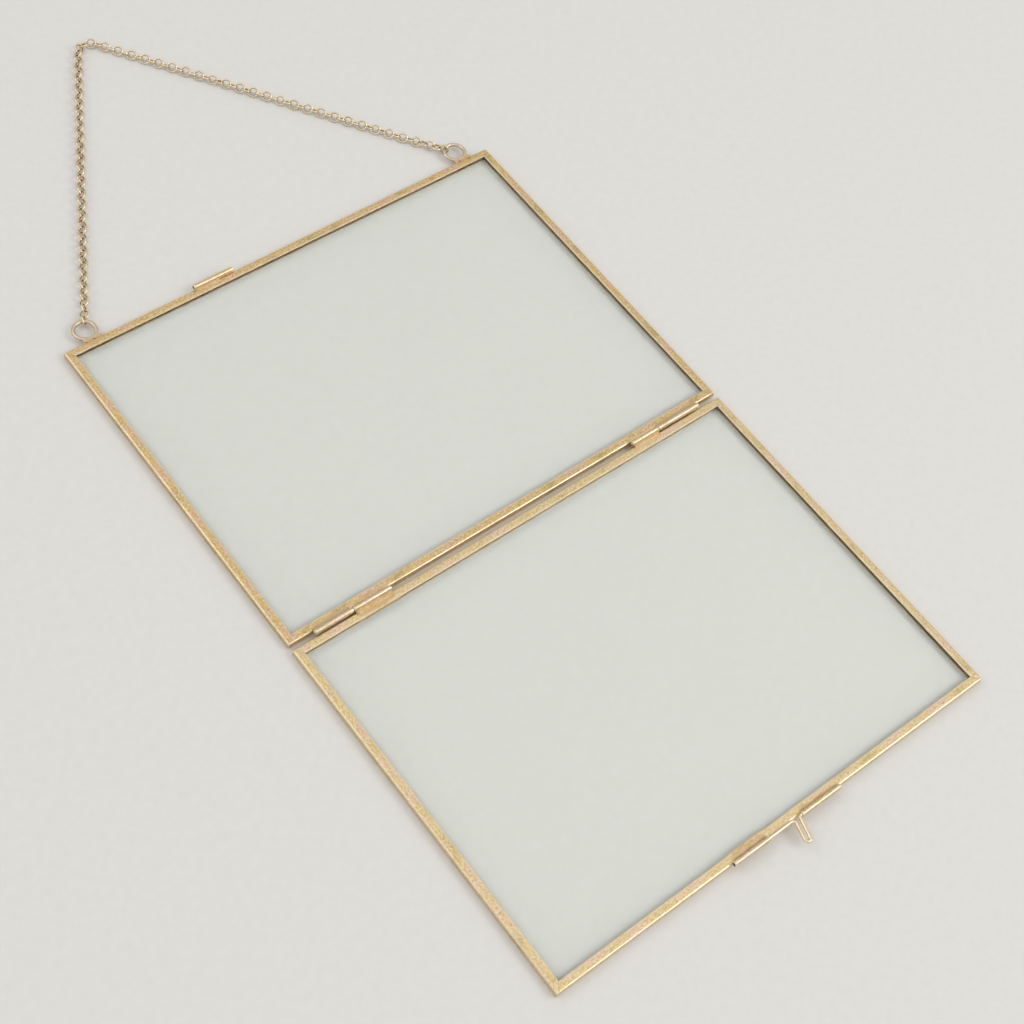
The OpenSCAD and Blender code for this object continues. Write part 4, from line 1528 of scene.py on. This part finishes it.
@dataclass
class Studio:
    """The pale floor, the soft light and the camera."""

    shop: Workshop
    focal_px: float = 1848.053
    picture_px: int = 1024
    sensor: float = 36.0
    eye_at: Point = (-262.592 * MM, PLAN.hinge_y - 215.437 * MM, 527.621 * MM)
    right: Point = (0.78081347, -0.60940012, 0.13770192)
    down: Point = (-0.46374167, -0.71301433, -0.52588424)
    ahead: Point = (0.41865736, 0.34675938, -0.83933542)
    floor_size: float = 6.0
    floor_t: float = 0.01
    sky_low: float = 0.40
    sky_high: float = 0.92
    clip: tuple[float, float] = (0.02, 30.0)
    # Each lamp's name, place, side and power in watts
    lamps: tuple[tuple[str, Point, float, float], ...] = (
        ("key_box", (0.85, -0.95, 1.25), 0.8, 7.0), ("fill_box", (-0.95, 0.85, 1.2), 0.8, 3.0))

    def camera(self) -> None:
        """Makes the camera at the photograph's place and angle."""
        data = bpy.data.cameras.new("photo_camera")
        data.sensor_fit, data.sensor_width = "HORIZONTAL", self.sensor
        data.lens = self.sensor * self.focal_px / self.picture_px
        data.clip_start, data.clip_end = self.clip
        camera = bpy.data.objects.new("photo_camera", data)
        turn = Matrix((self.right, [-v for v in self.down], [-v for v in self.ahead])).transposed()
        camera.matrix_world = Matrix.Translation(self.eye_at) @ turn.to_4x4()
        bpy.context.scene.collection.objects.link(camera)
        bpy.context.scene.camera = camera

    def floor(self) -> None:
        """Makes the floor, a plate whose middle is under the frame."""
        half = self.floor_size / 2
        corners = ((-half, -half), (half, -half), (half, half), (-half, half))
        points = np.array([(x, y, z) for z in (0, -self.floor_t) for x, y in corners])
        faces = [(0, 1, 2, 3), (7, 6, 5, 4), (0, 4, 5, 1), (1, 5, 6, 2), (2, 6, 7, 3), (3, 7, 4, 0)]
        board = self.shop.piece("studio_floor", points, faces, "floor")

    def world(self) -> None:
        """Makes an even pale surround, a little brighter overhead."""
        world = bpy.data.worlds.new("soft_surround")
        world.use_nodes = True
        tree = world.node_tree
        tree.nodes.clear()
        height = add(tree, "ShaderNodeSeparateXYZ",
                     {"Vector": add(tree, "ShaderNodeTexCoord").outputs["Generated"]}).outputs["Z"]
        level = add(tree, "ShaderNodeMapRange", {"Value": height, "To Min": self.sky_low, "To Max": self.sky_high})
        back = add(tree, "ShaderNodeBackground", {"Color": output(level, "Result"), "Strength": 1.0})
        add(tree, "ShaderNodeOutputWorld", {"Surface": back.outputs[0]})
        bpy.context.scene.world = world

    def lamp(self, name: str, at: Point, size: float, power: float) -> None:
        """Makes one soft box that points at the middle of the frame.

        Args:
            name: The lamp's name.
            at: Its place.
            size: The side of its square, in metres.
            power: Its power, in watts.
        """
        data = bpy.data.lights.new(name, "AREA")
        data.shape, data.size, data.energy = "SQUARE", size, power
        lamp = bpy.data.objects.new(name, data)
        lamp.matrix_world = Matrix.Translation(at) @ Vector(at).to_track_quat("Z", "Y").to_matrix().to_4x4()
        bpy.context.scene.collection.objects.link(lamp)

    def build(self) -> None:
        """Builds the whole studio."""
        self.floor()
        self.world()
        for lamp in self.lamps:
            self.lamp(*lamp)
        bpy.context.scene.view_settings.view_transform = "Standard"


def main() -> None:
    """Builds the frame and its studio in order."""
    logging.basicConfig(level=logging.INFO, format="%(name)s: %(message)s")
    shop = Workshop()
    shop.finishes = {
        "folded_brass": FoldedBrass().build(),
        "drawn_brass": DrawnBrass().build(),
        "tube_brass": FoldedBrass(name="drawn_brass_tube", yellow="#E2C794", tan="#E0CAA4", pink="#E8CDB6",
                                  olive="#C6B48C").build(),
        # The chain's painted inner shade darkens the insides of its links
        "chain_brass": DrawnBrass(name="linked_brass_wire", bright="#FAEACA", warm="#E6CA9C", painted_inner_shade="#74583A").build(),
        "eye_brass": SolderedBrass(name="eye_wire_brass", pink="#E2D0BE", yellow="#DECCAA", grey="#A6967E",
                                   roughness=(0.26, 0.42)).build(),
        # A lighter copy of the folded brass for the front leaf's rails: painted light, so that leaf shows brighter than
        # the back one
        "front_brass_painted_light": FoldedBrass(name="folded_brass_painted_light", yellow="#ECD08E", tan="#E8CEA0", pink="#F0CCB2",
                                   olive="#C4AE74").build(),
        "solder": SolderedBrass().build(),
        # Lighter and darker copies of the solder: the lee copy is painted light for slopes that face away from the key
        # lamp, the lit copy is painted shade for slopes that face it
        "lee_solder_painted_light": SolderedBrass(name="soldered_brass_lee_painted_light", pink="#F6E0C8", yellow="#F2D6A0", grey="#C0AA8C",
                                    roughness=(0.52, 0.68)).build(),
        "lit_solder_painted_shade": SolderedBrass(name="soldered_brass_lit_painted_shade", pink="#D2B89A", yellow="#CEB27E", grey="#94805F",
                                    roughness=(0.52, 0.68)).build(),
        "glass": FloatGlass().build(),
        "floor": PaintedFloor().build(),
    }
    studio = Studio(shop)
    studio.camera()
    HangingChain(shop).build()
    Leaf(shop, Body.BACK).build()
    Leaf(shop, Body.FRONT).build()
    Hinges(shop).build()
    Bolt(shop).build()
    Eyes(shop).build()
    studio.build()


if __name__ == "__main__":
    main()
